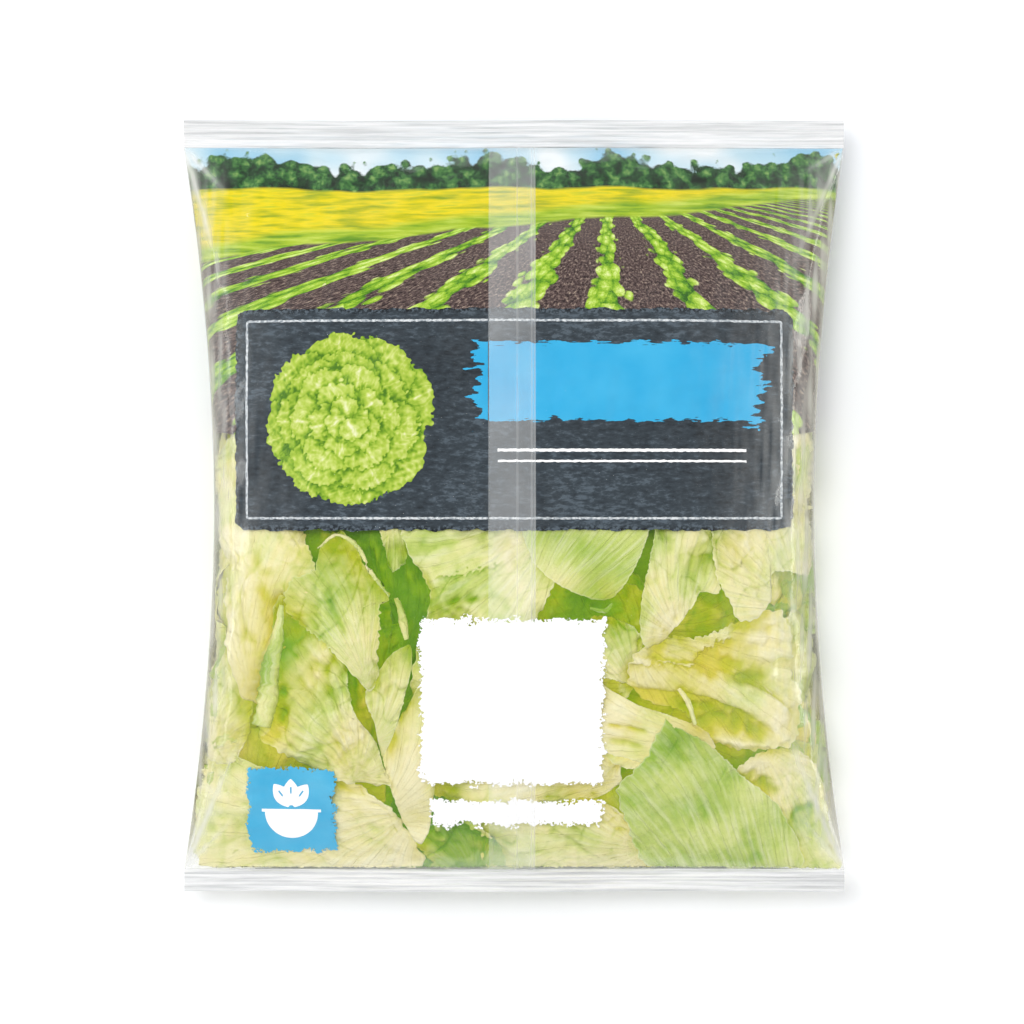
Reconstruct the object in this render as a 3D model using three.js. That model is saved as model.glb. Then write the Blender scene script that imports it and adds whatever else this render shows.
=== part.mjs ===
// A sealed pillow bag of cut salad leaves, lying on its back with the printed front up.
// The bag is one folded sheet of film: a tube with a lap seam down the front, closed by a crimped seal
// at each end and filled with loose leaves that push it out into a cushion with drawn-in sides.
// Frame: millimetres, +Z up, +Y towards the top seal, origin under the middle of the bag on the table.
import * as THREE from "three";

// Driving dimensions of the bag
const SEAL_WIDTH = 250;
const BAG_LENGTH = 292;
const WAIST_WIDTH = 227;
const TOP_SEAL = 10.4;
const TOP_CRIMPED = 6.6;
const BOTTOM_SEAL = 8.4;
const SEAL_HEIGHT = 26;
const FRONT_RISE = 42;
const BACK_DROP = 35;
const FIN_THICKNESS = 1;
const SEAL_WAVE = 1.6;
const SEAL_WAVE_LENGTH = 165;

// Crimps pressed across both end seals
const CRIMP_PITCH = 1.65;
const CRIMP_DEPTH = 0.35;
const STEPS_PER_CRIMP = 2;

// Lap seam down the front, where the film's two edges overlap
const SEAM_LEFT = -9.5;
const SEAM_RIGHT = 8;
const SEAM_STEP = 0.5;
const SEAM_SIDE = 0.8;

// How full the cushion is: the higher, the flatter the middle and the steeper the ends and sides
const WAIST_POWER = 1.85;
const LENGTH_FULLNESS = 2.7;
const END_ROUNDNESS = 0.72;
const SECTION_FULLNESS = 2.5;
const SECTION_FULLNESS_AT_SEAL = 1.7;
const FLOOR_BLEND = 4;

// Relief in the film: leaves pushing from inside, gathers at the seals and creases from the corners
const LUMP_HEIGHT = 0.85;
const LUMP_WAVES = 7;
const LUMP_LENGTH = 62;
const LUMP_SHRINK = 0.88;
const GOLDEN_ANGLE = Math.PI * (3 - Math.sqrt(5));
const GATHER_HEIGHT = 1.5;
const GATHER_PITCH = 23;
const GATHER_REACH = 26;
const GATHER_START = 6;
const GATHER_DRIFT = 1.4;
const GATHER_DRIFT_LENGTH = 107;
const CREASE_HEIGHT = 2.2;
const CREASE_WIDTH = 4.5;
const CREASE_START = 8;
const CREASES = [
  { angle: 40, reach: 34 },
  { angle: 74, reach: 74 },
];

const EDGE_FADE = 3;
const FRONT_PHASE = 0;
const BACK_PHASE = 2;

// Ripple of each end seal, as a phase of its wave
const TOP_PHASE = 0.6;
const BOTTOM_PHASE = 2.4;

// Faces along and across the bag
const BODY_ROWS = 40;
const ROW_CROWDING = 0.55;
const SIDE_COLUMNS = 15;
const SEAM_COLUMNS = 3;

const bodyStart = -BAG_LENGTH / 2 + BOTTOM_SEAL;
const bodyEnd = BAG_LENGTH / 2 - TOP_SEAL;
const bodyMiddle = (bodyStart + bodyEnd) / 2;
const bodyHalf = (bodyEnd - bodyStart) / 2;
const degrees = Math.PI / 180;

// Place along the body: -1 at the bottom seal, 1 at the top seal, clamped on the seals themselves
function along(y) {
  return THREE.MathUtils.clamp((y - bodyMiddle) / bodyHalf, -1, 1);
}

function halfWidth(s) {
  const waist = WAIST_WIDTH / 2;
  return waist + (SEAL_WIDTH / 2 - waist) * Math.abs(s) ** WAIST_POWER;
}

// Height of the line where front and back meet: the seals ripple a little, the side folds hardly at all
function foldHeight(x, y) {
  const s = along(y);
  const phase = y > bodyMiddle ? TOP_PHASE : BOTTOM_PHASE;
  return SEAL_HEIGHT + SEAL_WAVE * Math.sin((2 * Math.PI * x) / SEAL_WAVE_LENGTH + phase) * s ** 4;
}

// Share of the full rise at a place along the bag and across it, 0 at the seals and the side folds
function cushion(t, s) {
  const length = (1 - Math.abs(s) ** LENGTH_FULLNESS) ** END_ROUNDNESS;
  const n = THREE.MathUtils.lerp(SECTION_FULLNESS, SECTION_FULLNESS_AT_SEAL, Math.abs(s) ** 3);
  return length * (1 - Math.min(1, Math.abs(t)) ** n) ** (1 / n);
}

// Leaves pressing outwards: waves in several directions, each shorter than the last
function lumps(x, y, side) {
  let sum = 0;
  for (let k = 0; k < LUMP_WAVES; k += 1) {
    const heading = k * GOLDEN_ANGLE + side;
    const wave = (2 * Math.PI) / (LUMP_LENGTH * LUMP_SHRINK ** k);
    sum += Math.cos(wave * (x * Math.cos(heading) + y * Math.sin(heading)) + k * side) * LUMP_SHRINK ** k;
  }
  return LUMP_HEIGHT * sum;
}

// Short folds that run off each end seal, at an uneven pitch, and die out in the body
function gathers(x, y, side) {
  const fromSeal = Math.min(y - bodyStart, bodyEnd - y);
  const phase = side + (y > bodyMiddle ? TOP_PHASE : BOTTOM_PHASE);
  const drift = GATHER_DRIFT * Math.sin((2 * Math.PI * x) / GATHER_DRIFT_LENGTH + phase);
  const fold = Math.sin((2 * Math.PI * x) / GATHER_PITCH + phase + drift);
  return GATHER_HEIGHT * fold * Math.exp(-fromSeal / GATHER_REACH) * (1 - Math.exp(-fromSeal / GATHER_START));
}

// Sharp ridges that start at the four corners, where the flat seal turns into the round body
function creases(x, y) {
  const dx = SEAL_WIDTH / 2 - Math.abs(x);
  const dy = Math.min(y - bodyStart, bodyEnd - y);
  let highest = 0;
  for (const { angle, reach } of CREASES) {
    const run = dx * Math.cos(angle * degrees) + dy * Math.sin(angle * degrees);
    const off = dy * Math.cos(angle * degrees) - dx * Math.sin(angle * degrees);
    const taper = Math.max(0, Math.min(run / CREASE_START, (reach - run) / (reach - CREASE_START), 1));
    highest = Math.max(highest, CREASE_HEIGHT * taper * Math.exp(-((off / CREASE_WIDTH) ** 2)));
  }
  return highest;
}

function relief(x, y, side) {
  const s = along(y);
  const t = Math.min(1, Math.abs(x) / halfWidth(s));
  const inner = cushion(t, s);
  const folds = gathers(x, y, side) + creases(x, y);
  return lumps(x, y, side) * inner + folds * Math.min(1, EDGE_FADE * inner);
}

// The overlap's doubled film, with a short slope at each of its edges
function seamStep(x) {
  const inside = Math.min(x - SEAM_LEFT, SEAM_RIGHT - x);
  return SEAM_STEP * THREE.MathUtils.clamp(inside / SEAM_SIDE, 0, 1);
}

// Crimps move both faces of a seal together. The top seal's inner strip is left smooth.
function crimp(y) {
  const fromBottom = y + BAG_LENGTH / 2;
  const fromTop = BAG_LENGTH / 2 - y;
  const outward = fromBottom < BOTTOM_SEAL ? fromBottom : fromTop < TOP_CRIMPED ? fromTop : 0;
  return CRIMP_DEPTH * Math.sin((2 * Math.PI * outward) / (CRIMP_PITCH * 2)) ** 2;
}

function frontHeight(x, y) {
  const s = along(y);
  const rise = FRONT_RISE * cushion(x / halfWidth(s), s) + relief(x, y, FRONT_PHASE);
  return foldHeight(x, y) + FIN_THICKNESS / 2 + crimp(y) + Math.max(0, rise) + seamStep(x);
}

// The back is pressed flat where it lies on the table and curves up to the seals round that patch
function backHeight(x, y) {
  const s = along(y);
  const drop = BACK_DROP * cushion(x / halfWidth(s), s) + relief(x, y, BACK_PHASE);
  const free = foldHeight(x, y) - FIN_THICKNESS / 2 + crimp(y) - Math.max(0, drop);
  if (free > FLOOR_BLEND) return free;
  return free < -FLOOR_BLEND ? 0 : (free + FLOOR_BLEND) ** 2 / (4 * FLOOR_BLEND);
}

// Rows from the bottom edge to the top edge: a crest and a trough for each crimp, then the body's rows,
// which are closer together near the seals
function rowPlaces() {
  const rows = [];
  const crimps = (from, length) => {
    const count = Math.round(length / CRIMP_PITCH) * STEPS_PER_CRIMP;
    for (let i = 0; i < count; i += 1) rows.push(from + (length * i) / count);
  };
  crimps(-BAG_LENGTH / 2, BOTTOM_SEAL);
  for (let i = 0; i <= BODY_ROWS; i += 1) {
    const even = (2 * i) / BODY_ROWS - 1;
    const eased = THREE.MathUtils.lerp(even, Math.sin((even * Math.PI) / 2), ROW_CROWDING);
    rows.push(bodyMiddle + bodyHalf * eased);
  }
  crimps(BAG_LENGTH / 2 - TOP_CRIMPED, TOP_CRIMPED);
  rows.push(BAG_LENGTH / 2);
  return rows;
}

// Columns from the left fold to the right one, crowded towards the folds, with both seam edges on a column
function columnPlaces(half) {
  const ease = (i) => Math.sin(((i / SIDE_COLUMNS) * Math.PI) / 2);
  const columns = [];
  for (let i = SIDE_COLUMNS; i > 0; i -= 1) columns.push(SEAM_LEFT - (half + SEAM_LEFT) * ease(i));
  columns.push(SEAM_LEFT);
  for (let i = 0; i <= SEAM_COLUMNS; i += 1) {
    const width = SEAM_RIGHT - SEAM_LEFT - 2 * SEAM_SIDE;
    columns.push(SEAM_LEFT + SEAM_SIDE + (width * i) / SEAM_COLUMNS);
  }
  columns.push(SEAM_RIGHT);
  for (let i = 1; i <= SIDE_COLUMNS; i += 1) columns.push(SEAM_RIGHT + (half - SEAM_RIGHT) * ease(i));
  return columns;
}

// One closed skin: each row is a loop over the front and back under the bag, and the end loops are capped
function bagGeometry() {
  const positions = [];
  const indices = [];
  const rows = rowPlaces();
  const perRow = 2 * columnPlaces(1).length;
  const quad = (a, b, c, d) => indices.push(a, b, c, a, c, d);
  for (const y of rows) {
    const columns = columnPlaces(halfWidth(along(y)));
    for (const x of columns) positions.push(x, y, frontHeight(x, y));
    for (const x of columns.reverse()) positions.push(x, y, backHeight(x, y));
  }
  for (let row = 0; row + 1 < rows.length; row += 1) {
    for (let i = 0; i < perRow; i += 1) {
      const next = (i + 1) % perRow;
      quad(row * perRow + i, row * perRow + next, (row + 1) * perRow + next, (row + 1) * perRow + i);
    }
  }
  const last = (rows.length - 1) * perRow;
  for (let i = 0; i + 1 < perRow / 2; i += 1) {
    const back = perRow - 1 - i;
    quad(i, back, back - 1, i + 1);
    quad(last + i, last + i + 1, last + back - 1, last + back);
  }
  const geometry = new THREE.BufferGeometry();
  geometry.setAttribute("position", new THREE.Float32BufferAttribute(positions, 3));
  geometry.setIndex(indices);
  geometry.computeVertexNormals();
  return geometry;
}

function makeBag() {
  const film = new THREE.MeshStandardMaterial({ color: 0xc9d98a, roughness: 0.25, metalness: 0 });
  const bag = new THREE.Mesh(bagGeometry(), film);
  bag.name = "salad_bag";
  return bag;
}

const part = new THREE.Group();
part.add(makeBag());

export default part;
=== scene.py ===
# A sealed pillow bag of cut iceberg lettuce, printed on the front, lying on its back on a white table.
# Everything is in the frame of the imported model, in metres. Shapes are worked out in millimetres first.
import math

import bpy
import numpy as np
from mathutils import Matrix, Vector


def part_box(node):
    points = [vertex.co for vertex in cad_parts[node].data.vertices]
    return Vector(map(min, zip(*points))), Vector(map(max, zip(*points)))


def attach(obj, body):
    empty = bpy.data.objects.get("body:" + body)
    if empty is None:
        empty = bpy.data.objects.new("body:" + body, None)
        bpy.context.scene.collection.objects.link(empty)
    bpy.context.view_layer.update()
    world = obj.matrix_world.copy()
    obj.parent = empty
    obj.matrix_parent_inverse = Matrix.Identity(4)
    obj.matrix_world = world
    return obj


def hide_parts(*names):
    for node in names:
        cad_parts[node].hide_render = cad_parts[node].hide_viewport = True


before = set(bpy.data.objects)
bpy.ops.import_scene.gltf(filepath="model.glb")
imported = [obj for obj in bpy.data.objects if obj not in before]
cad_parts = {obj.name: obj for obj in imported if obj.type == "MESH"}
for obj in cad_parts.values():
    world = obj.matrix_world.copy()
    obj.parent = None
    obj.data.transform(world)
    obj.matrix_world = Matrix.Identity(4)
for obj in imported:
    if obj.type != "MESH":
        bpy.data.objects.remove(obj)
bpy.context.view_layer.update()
bpy.ops.object.select_all(action="DESELECT")

# Camera
# The bag was shot from straight in front, here from straight above, with a long lens that keeps its sides
# square. The distance is measured from the flat end seals, which carry the bag's full width.
MM = 0.001
VIEW_WIDTH = 388 * MM
VIEW_CENTRE = (-0.8 * MM, -2.3 * MM)
SEAL_HEIGHT = 26
CAMERA_DISTANCE = 1.45
SENSOR_WIDTH = 36
bpy.ops.object.camera_add(
    location=(*VIEW_CENTRE, SEAL_HEIGHT * MM + CAMERA_DISTANCE), rotation=(0, 0, 0)
)
camera = bpy.context.object
camera.name = "camera"
camera.data.sensor_width = SENSOR_WIDTH
camera.data.lens = SENSOR_WIDTH * CAMERA_DISTANCE / VIEW_WIDTH
bpy.context.scene.camera = camera

# Film tube
# Clear polypropylene film, about 30 microns thick, folded into a tube and blown out by the leaves. One skin
# goes round the front and the back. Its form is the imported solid's, with finer wrinkles on top.
low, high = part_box("salad_bag")
BAG_WIDTH = (high[0] - low[0]) / MM
BAG_LENGTH = (high[1] - low[1]) / MM
WAIST_WIDTH = 227
TOP_SEAL = 10.4
BOTTOM_SEAL = 8.4
FRONT_RISE = 42
BACK_DROP = 35
FIN_THICKNESS = 1
FLOOR_BLEND = 4
# How full the cushion is: the higher, the flatter its middle and the steeper its ends and sides
WAIST_POWER = 1.85
LENGTH_FULLNESS = 2.7
END_ROUNDNESS = 0.72
SECTION_FULLNESS = 2.5
SECTION_LOSS_AT_SEAL = 0.8
BODY_START = BOTTOM_SEAL - BAG_LENGTH / 2
BODY_END = BAG_LENGTH / 2 - TOP_SEAL
BODY_MIDDLE = (BODY_START + BODY_END) / 2
BODY_HALF = (BODY_END - BODY_START) / 2
SEAM_LEFT = -9.5
SEAM_RIGHT = 8
SEAM_STEP = 0.5
SEAM_SIDE = 0.8
# The two faces, each with the phase of its relief, and the phases of the two end seals
FRONT = 0
BACK = 2
TOP_PHASE = 0.6
BOTTOM_PHASE = 2.4
SEAL_WAVE = 1.6
SEAL_WAVE_LENGTH = 165
# Lumps that the leaves push into the film: waves in several directions, each shorter than the last
LUMP_HEIGHT = 0.85
LUMP_WAVES = 7
LUMP_LENGTH = 62
LUMP_SHRINK = 0.88
GOLDEN_ANGLE = math.pi * (3 - math.sqrt(5))
# Gathers at the seals: height, pitch and reach
BROAD_GATHERS = (1.5, 23, 26)
FINE_GATHERS = (0.4, 8.3, 15)
GATHER_DRIFT = 1.4
GATHER_DRIFT_PITCHES = 4.65
GATHER_START = 6
# Ridges that run in from the corners: angle from the seal, length and, for the sharp ones, strength
BROAD_CREASES = ((40, 34), (74, 74))
BROAD_CREASE_HEIGHT = 2.2
BROAD_CREASE_WIDTH = 4.5
SHARP_FOLD_HEIGHT = 0.8
SHARP_FOLD_WIDTH = 1.7
EDGE_FADE = 3
CORNER_FOLDS = {
    (-1, 1): ((47, 26, 1.0), (73, 60, 1.0)),
    (1, 1): ((32, 20, 0.6), (66, 50, 1.0), (78, 34, 0.5)),
    (-1, -1): ((66, 64, 1.0), (46, 30, 0.7), (80, 40, 0.5)),
    (1, -1): ((66, 66, 1.0), (50, 34, 0.6), (79, 52, 0.8)),
}


def along(y):
    return np.clip((y - BODY_MIDDLE) / BODY_HALF, -1, 1)


def half_width(y):
    return WAIST_WIDTH / 2 + (BAG_WIDTH - WAIST_WIDTH) / 2 * np.abs(along(y)) ** WAIST_POWER


def end_phase(y):
    return np.where(y > BODY_MIDDLE, TOP_PHASE, BOTTOM_PHASE)


def fold_height(x, y):
    """Height of the line where front and back meet, which ripples along the seals."""
    wave = np.sin(2 * math.pi * x / SEAL_WAVE_LENGTH + end_phase(y))
    return SEAL_HEIGHT + SEAL_WAVE * wave * along(y) ** 4


def cushion(t, y):
    """Share of the full rise: 1 in the middle, 0 at the seals and at the side folds, where t is -1 or 1."""
    s = np.abs(along(y))
    n = SECTION_FULLNESS - SECTION_LOSS_AT_SEAL * s**3
    across = np.clip(1 - np.minimum(1, np.abs(t)) ** n, 0, 1) ** (1 / n)
    return np.clip(1 - s**LENGTH_FULLNESS, 0, 1) ** END_ROUNDNESS * across


def lumps(x, y, side):
    total = 0
    for k in range(LUMP_WAVES):
        heading = k * GOLDEN_ANGLE + side
        wave = 2 * math.pi / (LUMP_LENGTH * LUMP_SHRINK**k)
        run = x * math.cos(heading) + y * math.sin(heading)
        total = total + np.cos(wave * run + k * side) * LUMP_SHRINK**k
    return LUMP_HEIGHT * total


def from_seal(y):
    """Distance into the body from the nearer end seal."""
    return np.clip(np.minimum(y - BODY_START, BODY_END - y), 0, None)


def gathers(x, y, side, height, pitch, reach):
    phase = side + end_phase(y)
    drift = GATHER_DRIFT * np.sin(2 * math.pi * x / (GATHER_DRIFT_PITCHES * pitch) + phase)
    fold = np.sin(2 * math.pi * x / pitch + phase + drift)
    return height * fold * np.exp(-from_seal(y) / reach) * (1 - np.exp(-from_seal(y) / GATHER_START))


def corner_ridge(x, y, angle, reach, width, start=8):
    dx = BAG_WIDTH / 2 - np.abs(x)
    dy = from_seal(y)
    c, s = math.cos(math.radians(angle)), math.sin(math.radians(angle))
    run, off = dx * c + dy * s, dy * c - dx * s
    taper = np.clip(np.minimum(run / start, (reach - run) / (reach - start)), 0, 1)
    return taper * np.exp(-((off / width) ** 2))


def corner_folds(x, y, width):
    total = 0
    for (side, end), folds in CORNER_FOLDS.items():
        here = (np.sign(x) == side) & (np.sign(y) == end)
        for angle, reach, strength in folds:
            total = np.maximum(total, here * strength * corner_ridge(x, y, angle, reach, width, 5))
    return total


def ripple(x, y, length, seed, waves=7):
    """An even, seeded relief of height about 1 whose bumps are length apart."""
    draw = np.random.default_rng(seed)
    total = 0
    for _ in range(waves):
        heading, phase = draw.uniform(0, 2 * math.pi, 2)
        wave = 2 * math.pi / (length * draw.uniform(0.7, 1.4))
        total = total + np.cos(wave * (x * math.cos(heading) + y * math.sin(heading)) + phase)
    return total / math.sqrt(waves / 2)


def relief(x, y, t, side, fine):
    inner = cushion(t, y)
    first, second = (corner_ridge(x, y, angle, reach, BROAD_CREASE_WIDTH) for angle, reach in BROAD_CREASES)
    broad = np.maximum(BROAD_CREASE_HEIGHT * first, BROAD_CREASE_HEIGHT * second)
    folds = gathers(x, y, side, *BROAD_GATHERS) + broad
    if fine:
        folds = folds + gathers(x, y, side + 1, *FINE_GATHERS)
        folds = folds + SHARP_FOLD_HEIGHT * corner_folds(x, y, SHARP_FOLD_WIDTH)
        folds = folds + 0.16 * ripple(x, y / 2.6, 9, 5 + side) + 0.1 * ripple(x / 1.8, y, 6, 6 + side)
    return lumps(x, y, side) * inner + folds * np.minimum(1, EDGE_FADE * inner)


def front_height(t, y, fine=True):
    x = t * half_width(y)
    step = SEAM_STEP * np.clip(np.minimum(x - SEAM_LEFT, SEAM_RIGHT - x) / SEAM_SIDE, 0, 1)
    rise = np.maximum(0, FRONT_RISE * cushion(t, y) + relief(x, y, t, FRONT, fine))
    return fold_height(x, y) + FIN_THICKNESS / 2 + rise + step


def back_height(t, y, fine=True):
    """The back is pressed flat where it lies on the table and curves up to the seals round that patch."""
    x = t * half_width(y)
    drop = np.maximum(0, BACK_DROP * cushion(t, y) + relief(x, y, t, BACK, fine))
    free = fold_height(x, y) - FIN_THICKNESS / 2 - drop
    eased = (free + FLOOR_BLEND) ** 2 / (4 * FLOOR_BLEND)
    return np.where(free > FLOOR_BLEND, free, np.where(free < -FLOOR_BLEND, 0, eased))


def body_rows(count):
    """Places along the body, closer together near the seals."""
    even = np.linspace(-1, 1, count)
    return BODY_MIDDLE + BODY_HALF * (0.6 * even + 0.4 * np.sin(even * math.pi / 2))


def tube(rows, front_columns, back_columns, fine):
    """Points round the tube, row by row: across the front from -X to +X, then back underneath."""
    front = np.sin(np.linspace(-1, 1, front_columns) * math.pi / 2)
    back = np.sin(np.linspace(1, -1, back_columns) * math.pi / 2)
    t, y = np.meshgrid(np.concatenate([front, back]), rows)
    over = np.arange(t.shape[1]) < front_columns
    z = np.where(over, front_height(t, y, fine), back_height(t, y, fine))
    return np.stack([t * half_width(y), y, z], axis=-1)


def round_the_tube(points):
    """Distance round the film at each point, from the left fold over the front and back to it."""
    steps = np.linalg.norm(np.diff(np.concatenate([points, points[:, :1]], axis=1), axis=1), axis=-1)
    return np.concatenate([np.zeros((len(points), 1)), np.cumsum(steps, axis=1)], axis=1)


def grid_piece(name, points, maps=None, tones=None, closed=False):
    """A grid primitive moved onto points, an array of rows and columns in mm, with UV maps and attributes."""
    rows, columns = points.shape[:2]
    bpy.ops.mesh.primitive_grid_add(x_subdivisions=columns - 1, y_subdivisions=rows - 1, size=2)
    piece = bpy.context.object
    piece.name = piece.data.name = name
    mesh = piece.data
    mesh.vertices.foreach_set("co", (points.reshape(-1, 3) * MM).ravel())
    corner = np.empty(len(mesh.loops), dtype=np.int32)
    mesh.loops.foreach_get("vertex_index", corner)
    mesh.uv_layers.remove(mesh.uv_layers[0])
    for title, values in (maps or {}).items():
        mesh.uv_layers.new(name=title).data.foreach_set("uv", values.reshape(-1, 2)[corner].ravel())
    for title, values in (tones or {}).items():
        layer = mesh.attributes.new(title, "FLOAT", "POINT")
        layer.data.foreach_set("value", np.broadcast_to(values, points.shape[:2]).ravel().astype(np.float32))
    if closed:
        bpy.ops.object.mode_set(mode="EDIT")
        bpy.ops.mesh.select_all(action="SELECT")
        bpy.ops.mesh.remove_doubles(threshold=0.00001)
        bpy.ops.object.mode_set(mode="OBJECT")
    bpy.ops.object.shade_smooth()
    return piece


def linear(colour):
    """A Blender colour from an sRGB hex value."""
    parts = [int(colour[i : i + 2], 16) / 255 for i in (1, 3, 5)]
    return (*(p / 12.92 if p <= 0.04045 else ((p + 0.055) / 1.055) ** 2.4 for p in parts), 1)


def node(tree, kind, settings=None, inputs=None):
    """Adds one node. An input is linked where its value is another node's output."""
    made = tree.nodes.new(kind)
    for title, value in (settings or {}).items():
        if title == "stops":
            ramp = made.color_ramp.elements
            while len(ramp) < len(value):
                ramp.new(1)
            for element, (place, colour) in zip(ramp, value):
                element.position, element.color = place, linear(colour)
        else:
            setattr(made, title, value)
    for title, value in (inputs or {}).items():
        if isinstance(value, bpy.types.NodeSocket):
            tree.links.new(value, made.inputs[title])
        else:
            made.inputs[title].default_value = value
    return made


# Settings that many nodes share: a value times a share added to a third, and a mix of two colours
ADD_SHARE = {"operation": "MULTIPLY_ADD"}
BLEND = {"data_type": "RGBA"}


def new_material(name, finish):
    """A material, its node tree and its shader. Finish holds what is the same all over its surface."""
    material = bpy.data.materials.new(name)
    material.use_nodes = True
    tree = material.node_tree
    shader = tree.nodes["Principled BSDF"]
    for title, value in finish.items():
        shader.inputs[title].default_value = value
    return material, tree, shader


def finish_piece(piece, material):
    piece.data.materials.clear()
    piece.data.materials.append(material)
    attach(piece, "root")


# Clear film reflects at both its faces and lets the rest through. Where it is stretched over a fold, or lies
# in several layers, it scatters white. Along the sharp corner folds and the side folds that white is also a
# painted
# highlight: one attribute carries the share of both.
clear_film, tree, shader = new_material("clear polypropylene film", {"Roughness": 0.13})
haze = node(tree, "ShaderNodeAttribute", {"attribute_name": "haze"}).outputs["Fac"]
place = node(tree, "ShaderNodeTexCoord").outputs["Object"]
crinkle = node(tree, "ShaderNodeTexNoise", None, {"Vector": place, "Scale": 140, "Detail": 3}).outputs[0]
bump = node(tree, "ShaderNodeBump", None, {"Strength": 0.25, "Distance": 0.0004, "Height": crinkle})
one_face = node(tree, "ShaderNodeFresnel", None, {"IOR": 1.49}).outputs[0]
mirror = node(tree, "ShaderNodeMath", {"operation": "MULTIPLY", "use_clamp": True}, {0: one_face, 1: 1.7})
passed = node(tree, "ShaderNodeMath", {"operation": "SUBTRACT"}, {0: 1.0, 1: haze}).outputs[0]
shine = node(tree, "ShaderNodeMath", {"operation": "MULTIPLY"}, {0: mirror.outputs[0], 1: passed}).outputs[0]
cover = node(tree, "ShaderNodeMath", {"operation": "ADD", "use_clamp": True}, {0: shine, 1: haze}).outputs[0]
share = node(tree, "ShaderNodeMath", {"operation": "DIVIDE", "use_clamp": True}, {0: shine, 1: cover})
tree.links.new(share.outputs[0], shader.inputs["Metallic"])
tree.links.new(cover, shader.inputs["Alpha"])
tree.links.new(bump.outputs[0], shader.inputs["Normal"])
# Painted shade: near the side folds the film's colour turns grey-brown, so the leaves there look darker
# through it.
painted_side_shade = node(tree, "ShaderNodeAttribute", {"attribute_name": "side_on"}).outputs["Fac"]
veil = node(tree, "ShaderNodeMix", BLEND, {0: painted_side_shade, 6: linear("#f7f8f6"), 7: linear("#a29f88")}).outputs[2]
tree.links.new(veil, shader.inputs["Base Color"])

# Haze is faint on the plain film and white near the seals, where the film lies in layers. Along the sharp
# folds and the side folds it is a painted highlight, and where the film turns down at the sides it carries
# streaks of painted highlight, more so on the right. It fades out below the side folds.
FILM_ROWS, FILM_FRONT, FILM_BACK = 210, 190, 110
PLAIN_HAZE, MOST_HAZE = 0.012, 0.8
HAZE_FADE_START, HAZE_FADE = 14, 12
film_points = tube(body_rows(FILM_ROWS), FILM_FRONT, FILM_BACK, fine=True)
film_points = np.concatenate([film_points, film_points[:, :1]], axis=1)
fx, fy, fz = np.moveaxis(film_points, -1, 0)
at_fold = np.abs(fx) / half_width(fy)
# Painted highlight: white streaks along the sharp corner folds and a bright line along the side folds.
film_haze_and_highlight = PLAIN_HAZE + 0.55 * corner_folds(fx, fy, 1.0) + 0.12 * corner_folds(fx, fy, 4.0)
film_haze_and_highlight = film_haze_and_highlight + 0.3 * np.clip((at_fold - 0.996) / 0.004, 0, 1)
film_haze_and_highlight = film_haze_and_highlight + 0.18 * np.exp(-from_seal(fy) / 1.6)
# How near a point lies to a side fold. It sets the painted shade in the film's colour and its painted
# highlight streaks.
side_on = np.exp(-(1 - at_fold) * half_width(fy) / (8 + 2.5 * np.sign(fx))) * (1 - np.abs(along(fy)) ** 8)
# Painted highlight: white streaks where the film turns down at the sides.
highlight_streaks = 0.8 + 0.35 * ripple(fx, fy / 12, 2.6, 91)
film_haze_and_highlight = film_haze_and_highlight + 0.8 * side_on * highlight_streaks
film_haze_and_highlight = film_haze_and_highlight * np.clip((fz - SEAL_HEIGHT + HAZE_FADE_START) / HAZE_FADE, 0, 1)
film_haze_and_highlight = np.clip(film_haze_and_highlight, PLAIN_HAZE, MOST_HAZE)
film = grid_piece("film_tube", film_points, tones={"haze": film_haze_and_highlight, "side_on": side_on}, closed=True)
finish_piece(film, clear_film)
film.visible_shadow = film.visible_diffuse = False
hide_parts("salad_bag")

# Printed farm field
# The upper part of the film, front and back, is printed edge to edge with a plain country scene: sky, hedge,
# a flowering field and rows of young plants on bare soil. The ink lies on the inner face of the film.
BASE_ROWS = body_rows(170)
BASE_FRONT, BASE_BACK = 150, 120
BASE_TUBE = tube(BASE_ROWS, BASE_FRONT, BASE_BACK, fine=False)
BASE_ROUND = round_the_tube(BASE_TUBE)
FRONT_ACROSS = BASE_ROUND[:, :BASE_FRONT] - BASE_ROUND[:, BASE_FRONT - 1 : BASE_FRONT] / 2
FRONT_ACROSS *= (BAG_WIDTH / 2) / FRONT_ACROSS[:, -1:]
BACK_ACROSS = BASE_ROUND[:, BASE_FRONT : BASE_FRONT + BASE_BACK]
BACK_ACROSS = BACK_ACROSS - (BACK_ACROSS[:, :1] + BACK_ACROSS[:, -1:]) / 2
BACK_ACROSS *= (BAG_WIDTH / 2) / BACK_ACROSS[:, -1:]
FIELD_LIFT = 0.42
FIELD_EDGE = 19
FIELD_EDGE_RISE = 9
HORIZON = 121
VANISHING_POINT = 34


def sample(table, column, y):
    """Reads a table of the tube's rows and columns between its points."""
    row = np.interp(y, BASE_ROWS, np.arange(len(BASE_ROWS)))
    r = np.clip(row.astype(int), 0, table.shape[0] - 2)
    c = np.clip(np.floor(column).astype(int), 0, table.shape[1] - 2)
    u, v = column - c, row - r
    if table.ndim == 3:
        u, v = u[..., None], v[..., None]
    lower = table[r, c] * (1 - u) + table[r, c + 1] * u
    upper = table[r + 1, c] * (1 - u) + table[r + 1, c + 1] * u
    return lower * (1 - v) + upper * v


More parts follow.
